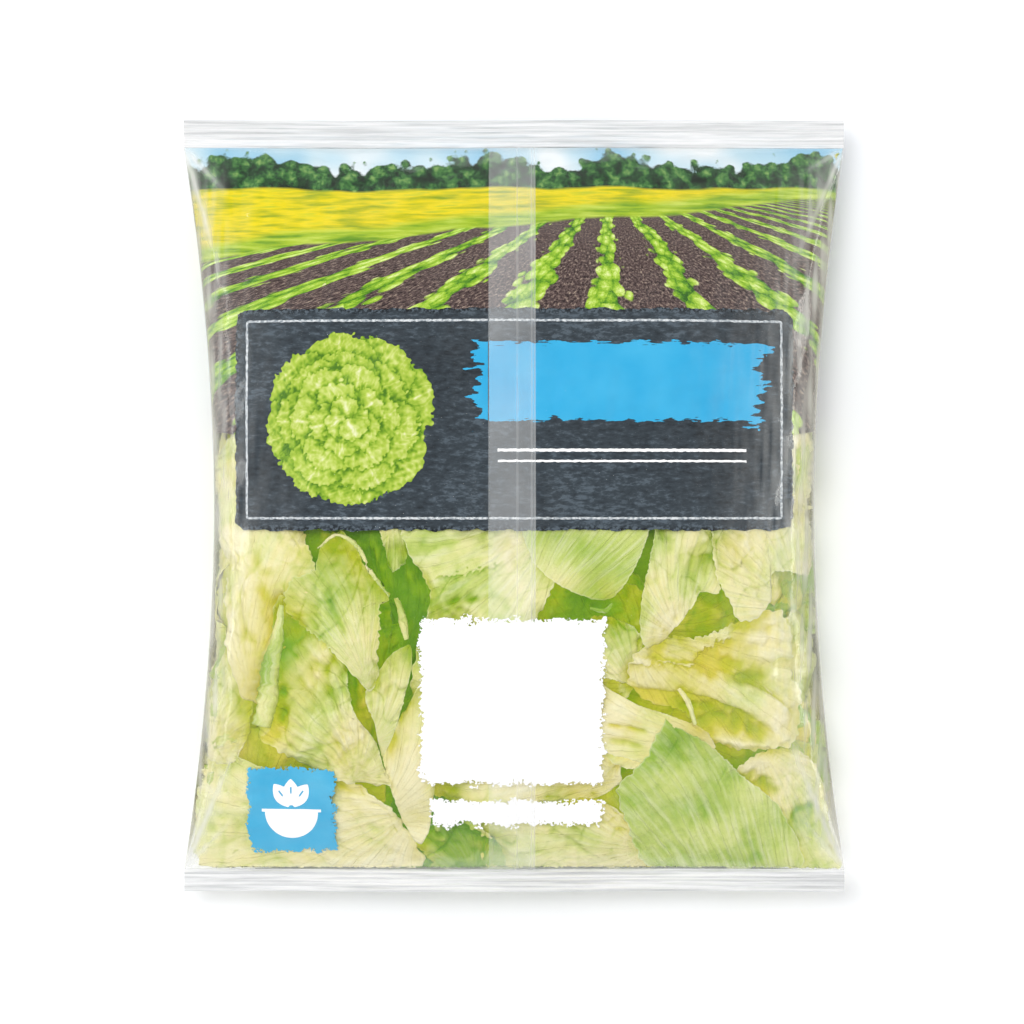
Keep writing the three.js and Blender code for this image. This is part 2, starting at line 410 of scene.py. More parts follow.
def field_sheet(name, side, columns, rows):
    """The printed sheet from fold to fold. Its map 'ground' lays the rows of plants out in perspective."""
    a, v = np.meshgrid(np.linspace(-1, 1, columns), np.linspace(0, 1, rows))
    t = np.sin(a * math.pi / 2)
    edge = FIELD_EDGE + FIELD_EDGE_RISE * t**2
    y = edge + (BODY_END - 0.1 - edge) * v
    inset = FIELD_LIFT * (1 - t**24)
    if side == FRONT:
        across = sample(FRONT_ACROSS, (a + 1) / 2 * (BASE_FRONT - 1), y)
        z = front_height(t, y) - inset
    else:
        across = -sample(BACK_ACROSS, (1 - a) / 2 * (BASE_BACK - 1), y)
        z = back_height(t, y) + inset
    points = np.stack([t * (half_width(y) - FIELD_LIFT), y, z], axis=-1)
    depth = np.maximum(HORIZON + 2.5 - y, 0.8)
    ground = np.stack([(across - VANISHING_POINT) / depth, np.log(depth)], axis=-1)
    flat = np.stack([across, y], axis=-1) * MM
    if side == BACK:
        points = points[:, ::-1]
        ground, flat = ground[:, ::-1], flat[:, ::-1]
    return grid_piece(name, points, maps={"ground": ground, "flat": flat})


# Gravure ink on the film: matt. The rows run to one point on the horizon, and each leaf is a small cell.
FIELD_FINISH = {"Roughness": 0.55, "Specular IOR Level": 0.2}
field_ink, tree, shader = new_material("gravure ink field picture", FIELD_FINISH)
ground = node(tree, "ShaderNodeUVMap", {"uv_map": "ground"}).outputs[0]
flat = node(tree, "ShaderNodeUVMap", {"uv_map": "flat"}).outputs[0]
bed = node(tree, "ShaderNodeSeparateXYZ", None, {0: ground}).outputs[0]
bed = node(tree, "ShaderNodeMath", {"operation": "MULTIPLY"}, {0: bed, 1: 1.55}).outputs[0]
off_row = node(tree, "ShaderNodeMath", {"operation": "PINGPONG"}, {0: bed, 1: 0.5}).outputs[0]
leaf_cells = {"Vector": ground, "Scale": 10.0}
leaf_cell = node(tree, "ShaderNodeTexVoronoi", {"voronoi_dimensions": "2D"}, leaf_cells).outputs
clumps = node(tree, "ShaderNodeTexNoise", None, {"Vector": ground, "Scale": 4.5, "Detail": 2}).outputs[0]
grit_grain = {"Vector": ground, "Scale": 42, "Detail": 3, "Roughness": 0.8}
grit = node(tree, "ShaderNodeTexNoise", None, grit_grain).outputs[0]
spread = node(tree, "ShaderNodeMath", ADD_SHARE, {0: clumps, 1: 0.42, 2: off_row}).outputs[0]
spread = node(tree, "ShaderNodeMath", ADD_SHARE, {0: leaf_cell["Distance"], 1: 0.2, 2: spread}).outputs[0]
row_mask = node(tree, "ShaderNodeMapRange", None, {0: spread, 1: 0.47, 2: 0.5, 3: 1.0, 4: 0.0}).outputs[0]
soil = node(
    tree,
    "ShaderNodeValToRGB",
    {"stops": [(0.36, "#231a1c"), (0.48, "#4c3c3b"), (0.58, "#7a6660"), (0.7, "#c9b79f")]},
    {0: grit},
).outputs[0]
cell_light = node(tree, "ShaderNodeSeparateXYZ", None, {0: leaf_cell["Color"]}).outputs[0]
leafy = node(tree, "ShaderNodeMath", ADD_SHARE, {0: cell_light, 1: 0.34, 2: grit}).outputs[0]
leafy = node(tree, "ShaderNodeMath", ADD_SHARE, {0: leaf_cell["Distance"], 1: -0.62, 2: leafy}).outputs[0]
plants = node(
    tree,
    "ShaderNodeValToRGB",
    {"stops": [(0.06, "#2f6412"), (0.24, "#5f9a1a"), (0.42, "#93bf2a"), (0.6, "#bcdc52"), (0.8, "#e6f4a4")]},
    {0: leafy},
).outputs[0]
rows_colour = node(tree, "ShaderNodeMix", BLEND, {0: row_mask, 6: soil, 7: plants}).outputs[2]
up = node(tree, "ShaderNodeSeparateXYZ", None, {0: flat}).outputs[1]
up = node(tree, "ShaderNodeMath", {"operation": "MULTIPLY"}, {0: up, 1: 1 / MM}).outputs[0]
side_noise = node(tree, "ShaderNodeTexNoise", None, {"Vector": flat, "Scale": 22, "Detail": 2}).outputs[0]
round_cells = {"voronoi_dimensions": "2D", "feature": "SMOOTH_F1"}
crowns = node(tree, "ShaderNodeTexVoronoi", round_cells, {"Vector": flat, "Scale": 190}).outputs["Distance"]
foliage_grain = {"Vector": flat, "Scale": 420, "Detail": 4, "Roughness": 0.7}
foliage = node(tree, "ShaderNodeTexNoise", None, foliage_grain).outputs[0]
across = node(tree, "ShaderNodeSeparateXYZ", None, {0: flat}).outputs[0]
swell = node(tree, "ShaderNodeMath", ADD_SHARE, {0: side_noise, 1: 9, 2: up}).outputs[0]
leaning = node(tree, "ShaderNodeMath", ADD_SHARE, {0: across, 1: -95, 2: swell}).outputs[0]
jagged = node(tree, "ShaderNodeMath", ADD_SHARE, {0: side_noise, 1: 30, 2: up}).outputs[0]
jagged = node(tree, "ShaderNodeMath", ADD_SHARE, {0: crowns, 1: 9, 2: jagged}).outputs[0]
jagged = node(tree, "ShaderNodeMath", ADD_SHARE, {0: foliage, 1: 4, 2: jagged}).outputs[0]
drawn_out = node(tree, "ShaderNodeMapping", None, {"Vector": flat, "Scale": (60, 560, 1)}).outputs[0]
streaks = node(tree, "ShaderNodeTexNoise", None, {"Vector": drawn_out, "Scale": 1, "Detail": 4}).outputs[0]
flowers = node(
    tree,
    "ShaderNodeValToRGB",
    {"stops": [(0.3, "#8ea60e"), (0.44, "#cfc800"), (0.56, "#f2dc00"), (0.7, "#c8cc22")]},
    {0: streaks},
).outputs[0]
meadow = node(
    tree,
    "ShaderNodeValToRGB",
    {"stops": [(0.3, "#5f9414"), (0.5, "#a6c324"), (0.7, "#cfe05a")]},
    {0: streaks},
).outputs[0]
crown_light = node(tree, "ShaderNodeMath", ADD_SHARE, {0: crowns, 1: -0.5, 2: foliage}).outputs[0]
hedge = node(
    tree,
    "ShaderNodeValToRGB",
    {"stops": [(0.1, "#07200c"), (0.28, "#1c4a22"), (0.42, "#3f7a35"), (0.6, "#86ac5c")]},
    {0: crown_light},
).outputs[0]
sky = node(
    tree,
    "ShaderNodeValToRGB",
    {"stops": [(0.4, "#8cc8e6"), (0.52, "#bfe0ee"), (0.62, "#f2f8fa")]},
    {0: side_noise},
).outputs[0]
# Each band of the picture covers the one below it. Its edge runs from the first to the second height, in mm.
PICTURE_BANDS = (
    (leaning, 108.0, 109.0, meadow),
    (leaning, 112.5, 115.5, flowers),
    (swell, 123.0, 124.0, hedge),
    (jagged, 149.5, 150.5, sky),
)
picture = rows_colour
for reach, band_start, band_full, band_colour in PICTURE_BANDS:
    share = node(tree, "ShaderNodeMapRange", None, {0: reach, 1: band_start, 2: band_full}).outputs[0]
    picture = node(tree, "ShaderNodeMix", BLEND, {0: share, 6: picture, 7: band_colour}).outputs[2]
tree.links.new(picture, shader.inputs["Base Color"])

for name, side, columns in (("field_print_front", FRONT, 200), ("field_print_back", BACK, 120)):
    finish_piece(field_sheet(name, side, columns, 110), field_ink)

# Dark label panel
# A charcoal panel with a torn edge is printed over the field, with a paler rim. Flat inks are laid one on
# another on the film's inner face, so the ink printed first is the one nearest to the film.
def rough(x, y, seed, size, depth):
    """How far an edge strays, from broad waves down to bristle marks."""
    total = 0
    for k in range(4):
        total = total + depth * 0.62**k * ripple(x, y, size * 0.5**k, seed + k)
    return total


def box_edge(x, y, centre, half, corner):
    """Distance inside a box with round corners, negative outside."""
    dx = np.abs(x - centre[0]) - half[0] + corner
    dy = np.abs(y - centre[1]) - half[1] + corner
    outside = np.hypot(np.maximum(dx, 0), np.maximum(dy, 0))
    return corner - outside - np.minimum(np.maximum(dx, dy), 0)


# How far in from its edge an ink's attribute rim rises from 0 to 1
RIM_SPAN = 6


def ink_sheet(name, inside, reach, step, lift):
    """A thin layer of ink where inside(x, y) is positive, laid lift mm under the front's surface."""
    (left, bottom), (right, top) = reach
    columns, rows = round((right - left) / step), round((top - bottom) / step)
    bpy.ops.mesh.primitive_grid_add(x_subdivisions=columns, y_subdivisions=rows, size=2)
    piece = bpy.context.object
    piece.name = piece.data.name = name
    mesh = piece.data
    spots = np.empty(len(mesh.vertices) * 3)
    mesh.vertices.foreach_get("co", spots)
    x = left + (spots[0::3] + 1) / 2 * (right - left)
    y = bottom + (spots[1::3] + 1) / 2 * (top - bottom)
    faces = np.empty(len(mesh.polygons) * 4, dtype=np.int32)
    mesh.polygons.foreach_get("vertices", faces)
    value = inside(x, y)
    inked = (value > 0)[faces.reshape(-1, 4)].any(axis=1)
    for _ in range(3):
        slope_x = (inside(x + 0.05, y) - inside(x - 0.05, y)) / 0.1
        slope_y = (inside(x, y + 0.05) - inside(x, y - 0.05)) / 0.1
        pull = np.clip(-value, 0, step) / np.maximum(slope_x**2 + slope_y**2, 0.3)
        x, y = x + pull * slope_x, y + pull * slope_y
        value = inside(x, y)
    z = front_height(x / half_width(y), y) - lift
    mesh.vertices.foreach_set("co", (np.stack([x, y, z], axis=-1) * MM).ravel())
    layer = mesh.attributes.new("rim", "FLOAT", "POINT")
    layer.data.foreach_set("value", np.clip(value / RIM_SPAN, 0, 1).astype(np.float32))
    mesh.polygons.foreach_set("select", ~inked)
    bpy.context.tool_settings.mesh_select_mode = (False, False, True)
    bpy.ops.object.mode_set(mode="EDIT")
    bpy.ops.mesh.delete(type="FACE")
    bpy.ops.object.mode_set(mode="OBJECT")
    bpy.context.tool_settings.mesh_select_mode = (True, False, False)
    bpy.ops.object.shade_smooth()
    return piece


PANEL_CENTRE = (0, 32)
PANEL_HALF = (104, 41)
PANEL_CORNER = 5
PANEL_REACH = ((-107, -12), (107, 76))
RIM_INSET = 4.4
RIM_HALF_WIDTH = 0.42


def panel_edge(x, y):
    return box_edge(x, y, PANEL_CENTRE, PANEL_HALF, PANEL_CORNER) + rough(x, y, 11, 7, 0.22)


def panel_rim(x, y):
    off_line = np.abs(box_edge(x, y, PANEL_CENTRE, PANEL_HALF, PANEL_CORNER) - RIM_INSET)
    return RIM_HALF_WIDTH + 0.06 * ripple(x, y, 3, 15) - off_line


INK_FINISH = {"Roughness": 0.6, "Specular IOR Level": 0.1}
panel_ink, tree, shader = new_material("charcoal gravure ink", INK_FINISH)
place = node(tree, "ShaderNodeTexCoord").outputs["Object"]
inset = node(tree, "ShaderNodeAttribute", {"attribute_name": "rim"}).outputs["Fac"]
drawn = node(tree, "ShaderNodeMapping", None, {"Vector": place, "Scale": (260, 620, 200)}).outputs[0]
grain = node(tree, "ShaderNodeTexNoise", None, {"Vector": drawn, "Scale": 1, "Detail": 4, "Roughness": 0.7})
cloud = node(tree, "ShaderNodeTexNoise", None, {"Vector": place, "Scale": 16, "Detail": 3}).outputs[0]
mixed = node(tree, "ShaderNodeMath", ADD_SHARE, {0: cloud, 1: 0.7, 2: grain.outputs[0]}).outputs[0]
chips = node(tree, "ShaderNodeMapRange", None, {0: inset, 1: 0.0, 2: 0.32, 3: 0.42, 4: 0.0}).outputs[0]
flaked = node(tree, "ShaderNodeTexNoise", None, {"Vector": place, "Scale": 900, "Detail": 3}).outputs[0]
flaked = node(tree, "ShaderNodeMapRange", None, {0: flaked, 1: 0.42, 2: 0.6, 3: -1.0, 4: 1.0}).outputs[0]
mixed = node(tree, "ShaderNodeMath", ADD_SHARE, {0: chips, 1: flaked, 2: mixed}).outputs[0]
slate = node(
    tree,
    "ShaderNodeValToRGB",
    {"stops": [(0.45, "#10151a"), (0.68, "#293138"), (0.88, "#3a444c"), (1.0, "#55616b")]},
    {0: mixed},
).outputs[0]
tree.links.new(slate, shader.inputs["Base Color"])

rim_ink, tree, shader = new_material("pale grey gravure ink", INK_FINISH)
place = node(tree, "ShaderNodeTexCoord").outputs["Object"]
dust = node(tree, "ShaderNodeTexNoise", None, {"Vector": place, "Scale": 900, "Detail": 2}).outputs[0]
chalk_stops = [(0.35, "#8d979f"), (0.6, "#dfe4e7")]
chalk = node(tree, "ShaderNodeValToRGB", {"stops": chalk_stops}, {0: dust}).outputs[0]
tree.links.new(chalk, shader.inputs["Base Color"])

# Depth of each ink under the film's surface: first ink, ink over a dark one, and white or blue on top
UNDERPRINT, SECOND_PRINT, OVERPRINT = 0.34, 0.28, 0.26
panel = ink_sheet("label_panel", panel_edge, PANEL_REACH, 0.9, UNDERPRINT)
finish_piece(panel, panel_ink)
rim = ink_sheet("label_panel_rim", panel_rim, PANEL_REACH, 0.42, SECOND_PRINT)
finish_piece(rim, rim_ink)

# Blue band and rules on the panel
# A blank stroke of light blue with bristle marks at its ends, and two thin white rules below it.
BAND_CENTRE = (38, 46)
BAND_HALF = (53, 15)
RULE_HEIGHTS = (20.5, 16.5)
RULES_CENTRE, RULES_HALF, RULE_HALF_WIDTH = 40, 46, 0.55


def band_edge(x, y):
    ends = np.clip(np.abs(x - BAND_CENTRE[0]) / BAND_HALF[0], 0, 1) ** 8
    bristles = ripple(x / 8, y, 4, 21) + 0.5 * ripple(x / 6, y, 2, 22)
    return box_edge(x, y, BAND_CENTRE, BAND_HALF, 3) + rough(x, y, 23, 9, 0.3) + 2.2 * ends * bristles


def rules_edge(x, y):
    near = np.minimum(np.abs(y - RULE_HEIGHTS[0]), np.abs(y - RULE_HEIGHTS[1]) + 0.15)
    inside = np.minimum(RULE_HALF_WIDTH - near, RULES_HALF - np.abs(x - RULES_CENTRE))
    return inside + 0.05 * ripple(x, y, 2, 24)


def flat_ink(name, colour, grain_colour, dry=0.0, strokes=(900, 900), glow=0.0):
    """One solid printing ink, uneven where the film took less of it. Its rim is broken up over dry mm."""
    ink_finish = {"Roughness": 0.55, "Specular IOR Level": 0.15, "Emission Strength": glow}
    ink, tree, shader = new_material(name, {**ink_finish, "Emission Color": linear("#ffffff")})
    place = node(tree, "ShaderNodeTexCoord").outputs["Object"]
    cloud = node(tree, "ShaderNodeTexNoise", None, {"Vector": place, "Scale": 60, "Detail": 4}).outputs[0]
    tint = node(tree, "ShaderNodeValToRGB", {"stops": [(0.35, colour), (0.7, grain_colour)]}, {0: cloud})
    tree.links.new(tint.outputs[0], shader.inputs["Base Color"])
    if dry:
        inset = node(tree, "ShaderNodeAttribute", {"attribute_name": "rim"}).outputs["Fac"]
        brushed = {"Vector": place, "Scale": (*strokes, 400)}
        brushed = node(tree, "ShaderNodeMapping", None, brushed).outputs[0]
        bare = node(tree, "ShaderNodeTexNoise", None, {"Vector": brushed, "Scale": 1, "Detail": 3}).outputs[0]
        firm = RIM_SPAN * 0.22 / dry
        held = node(tree, "ShaderNodeMath", ADD_SHARE, {0: inset, 1: firm, 2: bare}).outputs[0]
        cover = node(tree, "ShaderNodeMapRange", None, {0: held, 1: 0.55, 2: 0.6}).outputs[0]
        tree.links.new(cover, shader.inputs["Alpha"])
    return ink


# The white inks are opaque and lie right under the film, so they look as bright as the table. A little glow
# makes up for the light that the film keeps from them.
WHITE_GLOW = 0.1
blue_ink = flat_ink("light blue gravure ink", "#2eaee2", "#42b8e8", 1.4, (180, 1300))
white_ink = flat_ink("white gravure ink", "#ffffff", "#ffffff", glow=WHITE_GLOW)
brushed_white_ink = flat_ink("dry-brushed white gravure ink", "#ffffff", "#ffffff", 1.6, glow=WHITE_GLOW)
band = ink_sheet("blue_band", band_edge, ((-24, 26), (100, 66)), 0.5, OVERPRINT)
finish_piece(band, blue_ink)
rules = ink_sheet("panel_rules", rules_edge, ((-10, 14), (90, 23)), 0.4, OVERPRINT)
finish_piece(rules, white_ink)

# Lettuce rosette on the panel
# A head of lettuce seen from above stands left of the band. It is printed in rings of broad leaves with pale
# ribs and frilled rims, each leaf lapping over the next one out and shading it.
ROSETTE_CENTRE = (-62, 32)
ROSETTE_REACH = 36
# Leaves in each ring, distance of their tips, their length and width, and where the first one points
ROSETTE_RINGS = (
    (8, 32, 21, 27, 0.2),
    (7, 26, 19, 23, 0.6),
    (6, 20, 16, 19, 0.1),
    (5, 14, 13, 14, 0.7),
    (4, 8.5, 9, 10, 0.3),
)


def rosette_leaves(x, y):
    """How far a spot lies inside the head, and its leaf's lightness there."""
    inside, light = np.full(x.shape, -9.0), np.zeros(x.shape)
    for ring, (count, tip, length, width, first_turn) in enumerate(ROSETTE_RINGS, start=1):
        for k in range(count):
            turn = first_turn + 2 * math.pi * k / count + 0.12 * math.sin(5 * k + ring)
            reach = tip * (1 + 0.05 * math.sin(7 * k + 2 * ring))
            dx, dy = x - ROSETTE_CENTRE[0], y - ROSETTE_CENTRE[1]
            out = dx * math.cos(turn) + dy * math.sin(turn) - (reach - length)
            off = dy * math.cos(turn) - dx * math.sin(turn) + 0.8 * np.sin(out / 5 + k)
            seed = 10 * ring + k
            frill = 0.55 * ripple(x, y, 4.5, seed) + 0.35 * ripple(x, y, 2.1, seed + 1)
            v = out / length
            u = np.abs(off) / (width / 2)
            away = (np.hypot((v - 0.55) / 0.45, u) - 1) * width / 2
            edge = -away + frill * np.clip(v * 1.6, 0, 1)
            rib = np.exp(-((off / (0.25 + 1.1 * np.clip(1 - v, 0, 1))) ** 2)) * np.clip(1.25 - v, 0, 1)
            fan = np.arctan2(off, out + 0.35 * length) * 9 + 0.5 * ripple(x, y, 6, seed + 2)
            veins = np.exp(-((np.abs(fan % 1 - 0.5) / 0.11) ** 2)) * np.clip(1.3 - u - 0.4 * v, 0, 1)
            puffy = 0.5 + 0.22 * ripple(x, y, 3.4, seed + 3) + 0.12 * ripple(x, y, 1.6, seed + 4)
            here = 0.32 + 0.3 * puffy + 0.42 * rib + 0.2 * veins - 0.5 * np.exp(-np.clip(out, 0, None) / 3.6)
            here = here - 0.12 * np.exp(-np.clip(edge, 0, None) / 1.6) + 0.05 * ring
            shaded = light - 0.42 * np.exp(-np.clip(-edge, 0, None) / 1.5)
            light = np.where(edge > 0, here, shaded)
            inside = np.maximum(inside, edge)
    return inside, light


rosette_finish = {"Roughness": 0.55, "Specular IOR Level": 0.15}
rosette_ink, tree, shader = new_material("lettuce green gravure inks", rosette_finish)
light_value = node(tree, "ShaderNodeAttribute", {"attribute_name": "light"}).outputs["Fac"]
leaf_tint = node(
    tree,
    "ShaderNodeValToRGB",
    {"stops": [(0.0, "#4c7c12"), (0.25, "#82ab22"), (0.48, "#b3cc48"), (0.68, "#d3e07c"), (0.95, "#f2f4c8")]},
    {0: light_value},
).outputs[0]
tree.links.new(leaf_tint, shader.inputs["Base Color"])
rosette_reach = [[c - ROSETTE_REACH for c in ROSETTE_CENTRE], [c + ROSETTE_REACH for c in ROSETTE_CENTRE]]
rosette = ink_sheet("lettuce_rosette", lambda x, y: rosette_leaves(x, y)[0], rosette_reach, 0.36, OVERPRINT)
inked = np.empty(len(rosette.data.vertices) * 3)
rosette.data.vertices.foreach_get("co", inked)
lightness = rosette_leaves(inked[0::3] / MM, inked[1::3] / MM)[1]
layer = rosette.data.attributes.new("light", "FLOAT", "POINT")
layer.data.foreach_set("value", np.clip(lightness, 0, 1).astype(np.float32))
finish_piece(rosette, rosette_ink)

# White patches and blue badge
# The date field and the strip below it are solid white with dry-brushed edges and nothing on them. The blue
# badge in the corner carries a plain bowl and three leaves.
# Each patch: its centre, half its width and height, and its seed
PATCHES = {
    "date_patch": ((-0.8, -72.6), (34, 30.8), 41),
    "note_patch": ((0.8, -114.6), (32.5, 4.8), 47),
}
BADGE_CENTRE = (-83.5, -114)
BADGE_HALF = (16.3, 16)
BADGE_SEED = 53


def patch_edge(centre, half, seed):
    def inside(x, y):
        return box_edge(x, y, centre, half, 1.5) + 0.5 + rough(x, y, seed, 9, 0.45)

    return inside


def reach_round(centre, half, spare):
    return [[c - h - spare for c, h in zip(centre, half)], [c + h + spare for c, h in zip(centre, half)]]


for name, (centre, half, seed) in PATCHES.items():
    patch = ink_sheet(name, patch_edge(centre, half, seed), reach_round(centre, half, 4), 0.5, UNDERPRINT)
    finish_piece(patch, brushed_white_ink)

badge_reach = reach_round(BADGE_CENTRE, BADGE_HALF, 3)
badge_ink = flat_ink("badge blue gravure ink", "#3fb2e0", "#59bee6", 1.3)
badge_edge = patch_edge(BADGE_CENTRE, BADGE_HALF, BADGE_SEED)
badge = ink_sheet("blue_badge", badge_edge, badge_reach, 0.45, UNDERPRINT)
finish_piece(badge, badge_ink)


def badge_icon(x, y):
    """A half-round bowl with a straight rim, and three pointed leaves with a slit for their ribs."""
    dx, dy = x - BADGE_CENTRE[0], y - BADGE_CENTRE[1]
    icon = np.minimum(10 - np.hypot(dx, dy + 1), -0.8 - dy)
    icon = np.maximum(icon, np.minimum(0.55 - np.abs(dy + 0.2), 11.2 - np.abs(dx)))
    for lean in (-0.62, 0, 0.62):
        c, s = math.cos(lean), math.sin(lean)
        u, v = dx * c - (dy - 1) * s, dx * s + (dy - 1) * c
        blade = 3.1 * np.sin(np.clip(v / 11, 0, 1) * math.pi) ** 0.8 - np.abs(u)
        blade = np.minimum(np.minimum(blade, np.minimum(v - 0.8, 11 - v)), np.abs(u) - 0.3 * (v < 8))
        icon = np.maximum(icon, blade)
    return icon


finish_piece(ink_sheet("badge_icon", badge_icon, badge_reach, 0.22, SECOND_PRINT), white_ink)

# Lap seam
# The film's two edges overlap in a band down the front. The outer lap is unprinted and a little milky, with
# fine lines where the layers are welded.
WELD_LINES = (1.2, 6.4, 7.7)
seam_y, seam_x = np.meshgrid(body_rows(210), np.linspace(SEAM_LEFT, SEAM_RIGHT, 36), indexing="ij")
seam_z = front_height(seam_x / half_width(seam_y), seam_y)
seam_z = seam_z + (0.12 + 0.05 * np.exp(-((seam_x - WELD_LINES[0]) ** 2) / 0.1))
weld = sum(np.exp(-(((seam_x - line) / 0.32) ** 2)) for line in WELD_LINES)
seam = grid_piece("lap_seam", np.stack([seam_x, seam_y, seam_z], axis=-1), tones={"weld": weld})
seam_finish = {"Base Color": linear("#f4f6f6"), "Roughness": 0.3}
seam_film, tree, shader = new_material("milky welded film", seam_finish)
weld_share = node(tree, "ShaderNodeAttribute", {"attribute_name": "weld"}).outputs["Fac"]
place = node(tree, "ShaderNodeTexCoord").outputs["Object"]
cloud = node(tree, "ShaderNodeTexNoise", None, {"Vector": place, "Scale": 45, "Detail": 3}).outputs[0]
veil = node(tree, "ShaderNodeMapRange", None, {0: cloud, 1: 0.3, 2: 0.75, 3: 0.17, 4: 0.27}).outputs[0]
veil = node(tree, "ShaderNodeMath", ADD_SHARE, {0: weld_share, 1: 0.12, 2: veil}).outputs[0]
tree.links.new(veil, shader.inputs["Alpha"])
finish_piece(seam, seam_film)
seam.visible_shadow = seam.visible_diffuse = False

# Crimped end seals
# Both ends are closed between heated jaws that press fine ribs across the film. The layers fuse to a silvery
# white strip, about a millimetre thick with its ribs. The top one keeps a smooth band next to the body.
TOP_CRIMPED = 6.6
CRIMP_PITCH = 1.65
CRIMP_DEPTH = 0.35
SEAL_HALF_THICKNESS = 0.4


def seal_points(low_y, high_y, rows, columns):
    x = np.linspace(-BAG_WIDTH / 2, BAG_WIDTH / 2, columns)
    y = np.linspace(low_y, high_y, rows)
    front_y, front_x = np.meshgrid(y, x, indexing="ij")
    outward = np.where(front_y < 0, front_y + BAG_LENGTH / 2, BAG_LENGTH / 2 - front_y)
    pressed = (front_y < 0) | (outward < TOP_CRIMPED)
    ribs = CRIMP_DEPTH * np.where(pressed, np.sin(math.pi * outward / CRIMP_PITCH) ** 2, 0)
    uneven = 0.12 * ripple(front_x / 3, front_y, 4, 61) + 0.1 * ripple(front_x / 9, front_y, 1.2, 62)
    middle = fold_height(front_x, front_y) + ribs + uneven
    top = np.stack([front_x, front_y, middle + SEAL_HALF_THICKNESS], axis=-1)
    under = np.stack([front_x, front_y, middle - SEAL_HALF_THICKNESS], axis=-1)
    return np.concatenate([under[:1], top, under[::-1]], axis=0)


seal_film, tree, shader = new_material("heat-sealed polypropylene", {"Roughness": 0.22, "Alpha": 0.93})
place = node(tree, "ShaderNodeTexCoord").outputs["Object"]
pulled = node(tree, "ShaderNodeMapping", None, {"Vector": place, "Scale": (22, 1100, 60)}).outputs[0]
streak = node(tree, "ShaderNodeTexNoise", None, {"Vector": pulled, "Scale": 1, "Detail": 4}).outputs[0]
silver = node(
    tree,
    "ShaderNodeValToRGB",
    {"stops": [(0.34, "#d6d7d8"), (0.48, "#eaebec"), (0.62, "#fafafb")]},
    {0: streak},
).outputs[0]
tree.links.new(silver, shader.inputs["Base Color"])
for name, low_y, high_y in (
    ("bottom_seal", -BAG_LENGTH / 2, BODY_START),
    ("top_seal", BODY_END, BAG_LENGTH / 2),
):
    strip = grid_piece(name, seal_points(low_y, high_y, 44, 160), closed=True)
    finish_piece(strip, seal_film)

# Leaves
# Cut iceberg lettuce. Each piece is a thin sheet with a rib, folds, blisters between its veins and a frilled
# rim, pressed against the inside of the film. A leaf under another is pushed deeper by it, and a painted
# shade makes it more saturated there, for the light that reaches it through other leaves.
ROUND_STEP = 2.0
ROUND_LENGTH = 500
WRAP_TURNS = np.arange(-100, 600, ROUND_STEP)
SLOPE_STEP = 0.8
LEAF_SPACING = 1.2
COVER_REACH = 14
CAST_SHIFT = 1.2
VEINS_PER_RADIAN = 6.5
RIM_DEPTH = 0.5
# A leaf's traits. Heading is where its rib points, in degrees, and spread is how far behind its middle its
# veins meet, in sizes. Rib, swell, blister, frill, crease and tilt are heights in mm. Tone runs from cream to
# green, fade is how much it pales towards the foot, dim is painted shade added all over, and cells sets its
# faces.
LEAF_DEFAULTS = dict(
    heading=90, spread=1.3, rib=1.0, swell=1.5, blister=0.55, frill=1.4, ragged=0.012, fade=0.28, crease=0.7,
    dim=0, tilt=(0, 0), cells=60, folds=(), side=FRONT,
)


def even_tube():
    """The tube's points at even steps round its 500 mm of film, from before the left fold to past it."""
    table = np.empty((len(BASE_ROWS), len(WRAP_TURNS), 3))
    for r, points in enumerate(BASE_TUBE):
        loop = np.concatenate([points, points[:1]])
        total = BASE_ROUND[r, -1]
        for axis in range(3):
            turns = WRAP_TURNS / ROUND_LENGTH * total
            table[r, :, axis] = np.interp(turns, BASE_ROUND[r], loop[:, axis], period=total)
    return table


EVEN_TUBE = even_tube()


def film_frame(x, y, side):
    """The film's point and inward direction. A wrap leaf's x is its distance round from the left fold."""
    y = np.clip(y, BODY_START + 0.3, BODY_END - 0.3)
    if side == "wrap":
        def at(turn, row):
            return sample(EVEN_TUBE, (turn - WRAP_TURNS[0]) / ROUND_STEP, row)

        slant, rise = at(x + 1.5, y) - at(x - 1.5, y), at(x, y + 1) - at(x, y - 1)
        inward = -np.cross(slant, rise)
        return at(x, y), inward / np.linalg.norm(inward, axis=-1, keepdims=True)
    t = np.clip(x / half_width(y), -0.995, 0.995)
    height = front_height if side == FRONT else back_height
    ahead, behind = np.clip(t + SLOPE_STEP / 113, -1, 1), np.clip(t - SLOPE_STEP / 113, -1, 1)
    slope_x = (height(ahead, y, False) - height(behind, y, False)) / (2 * SLOPE_STEP)
    slope_y = (height(t, y + SLOPE_STEP / 2, False) - height(t, y - SLOPE_STEP / 2, False)) / SLOPE_STEP
    inward = np.stack([slope_x, slope_y, -np.ones_like(t)], axis=-1) * (1 if side == FRONT else -1)
    inward = inward / np.linalg.norm(inward, axis=-1, keepdims=True)
    return np.stack([t * half_width(y), y, height(t, y, False)], axis=-1), inward


def room(x, y, side):
    """How deep a leaf may lie: less than half of the bag's thickness at that spot."""
    t = np.clip(x / half_width(y), -1, 1) if side != "wrap" else np.full_like(x, 0.6)
    return 0.46 * (front_height(t, y, False) - back_height(t, y, False))


def unit_disc(cells):
    """Angle and radius of the points of a square grid that is rounded to a disc."""
    u, v = np.meshgrid(np.linspace(-1, 1, cells + 1), np.linspace(-1, 1, cells + 1))
    x, y = u * np.sqrt(1 - v**2 / 2), v * np.sqrt(1 - u**2 / 2)
    return np.arctan2(y, x), np.hypot(x, y)


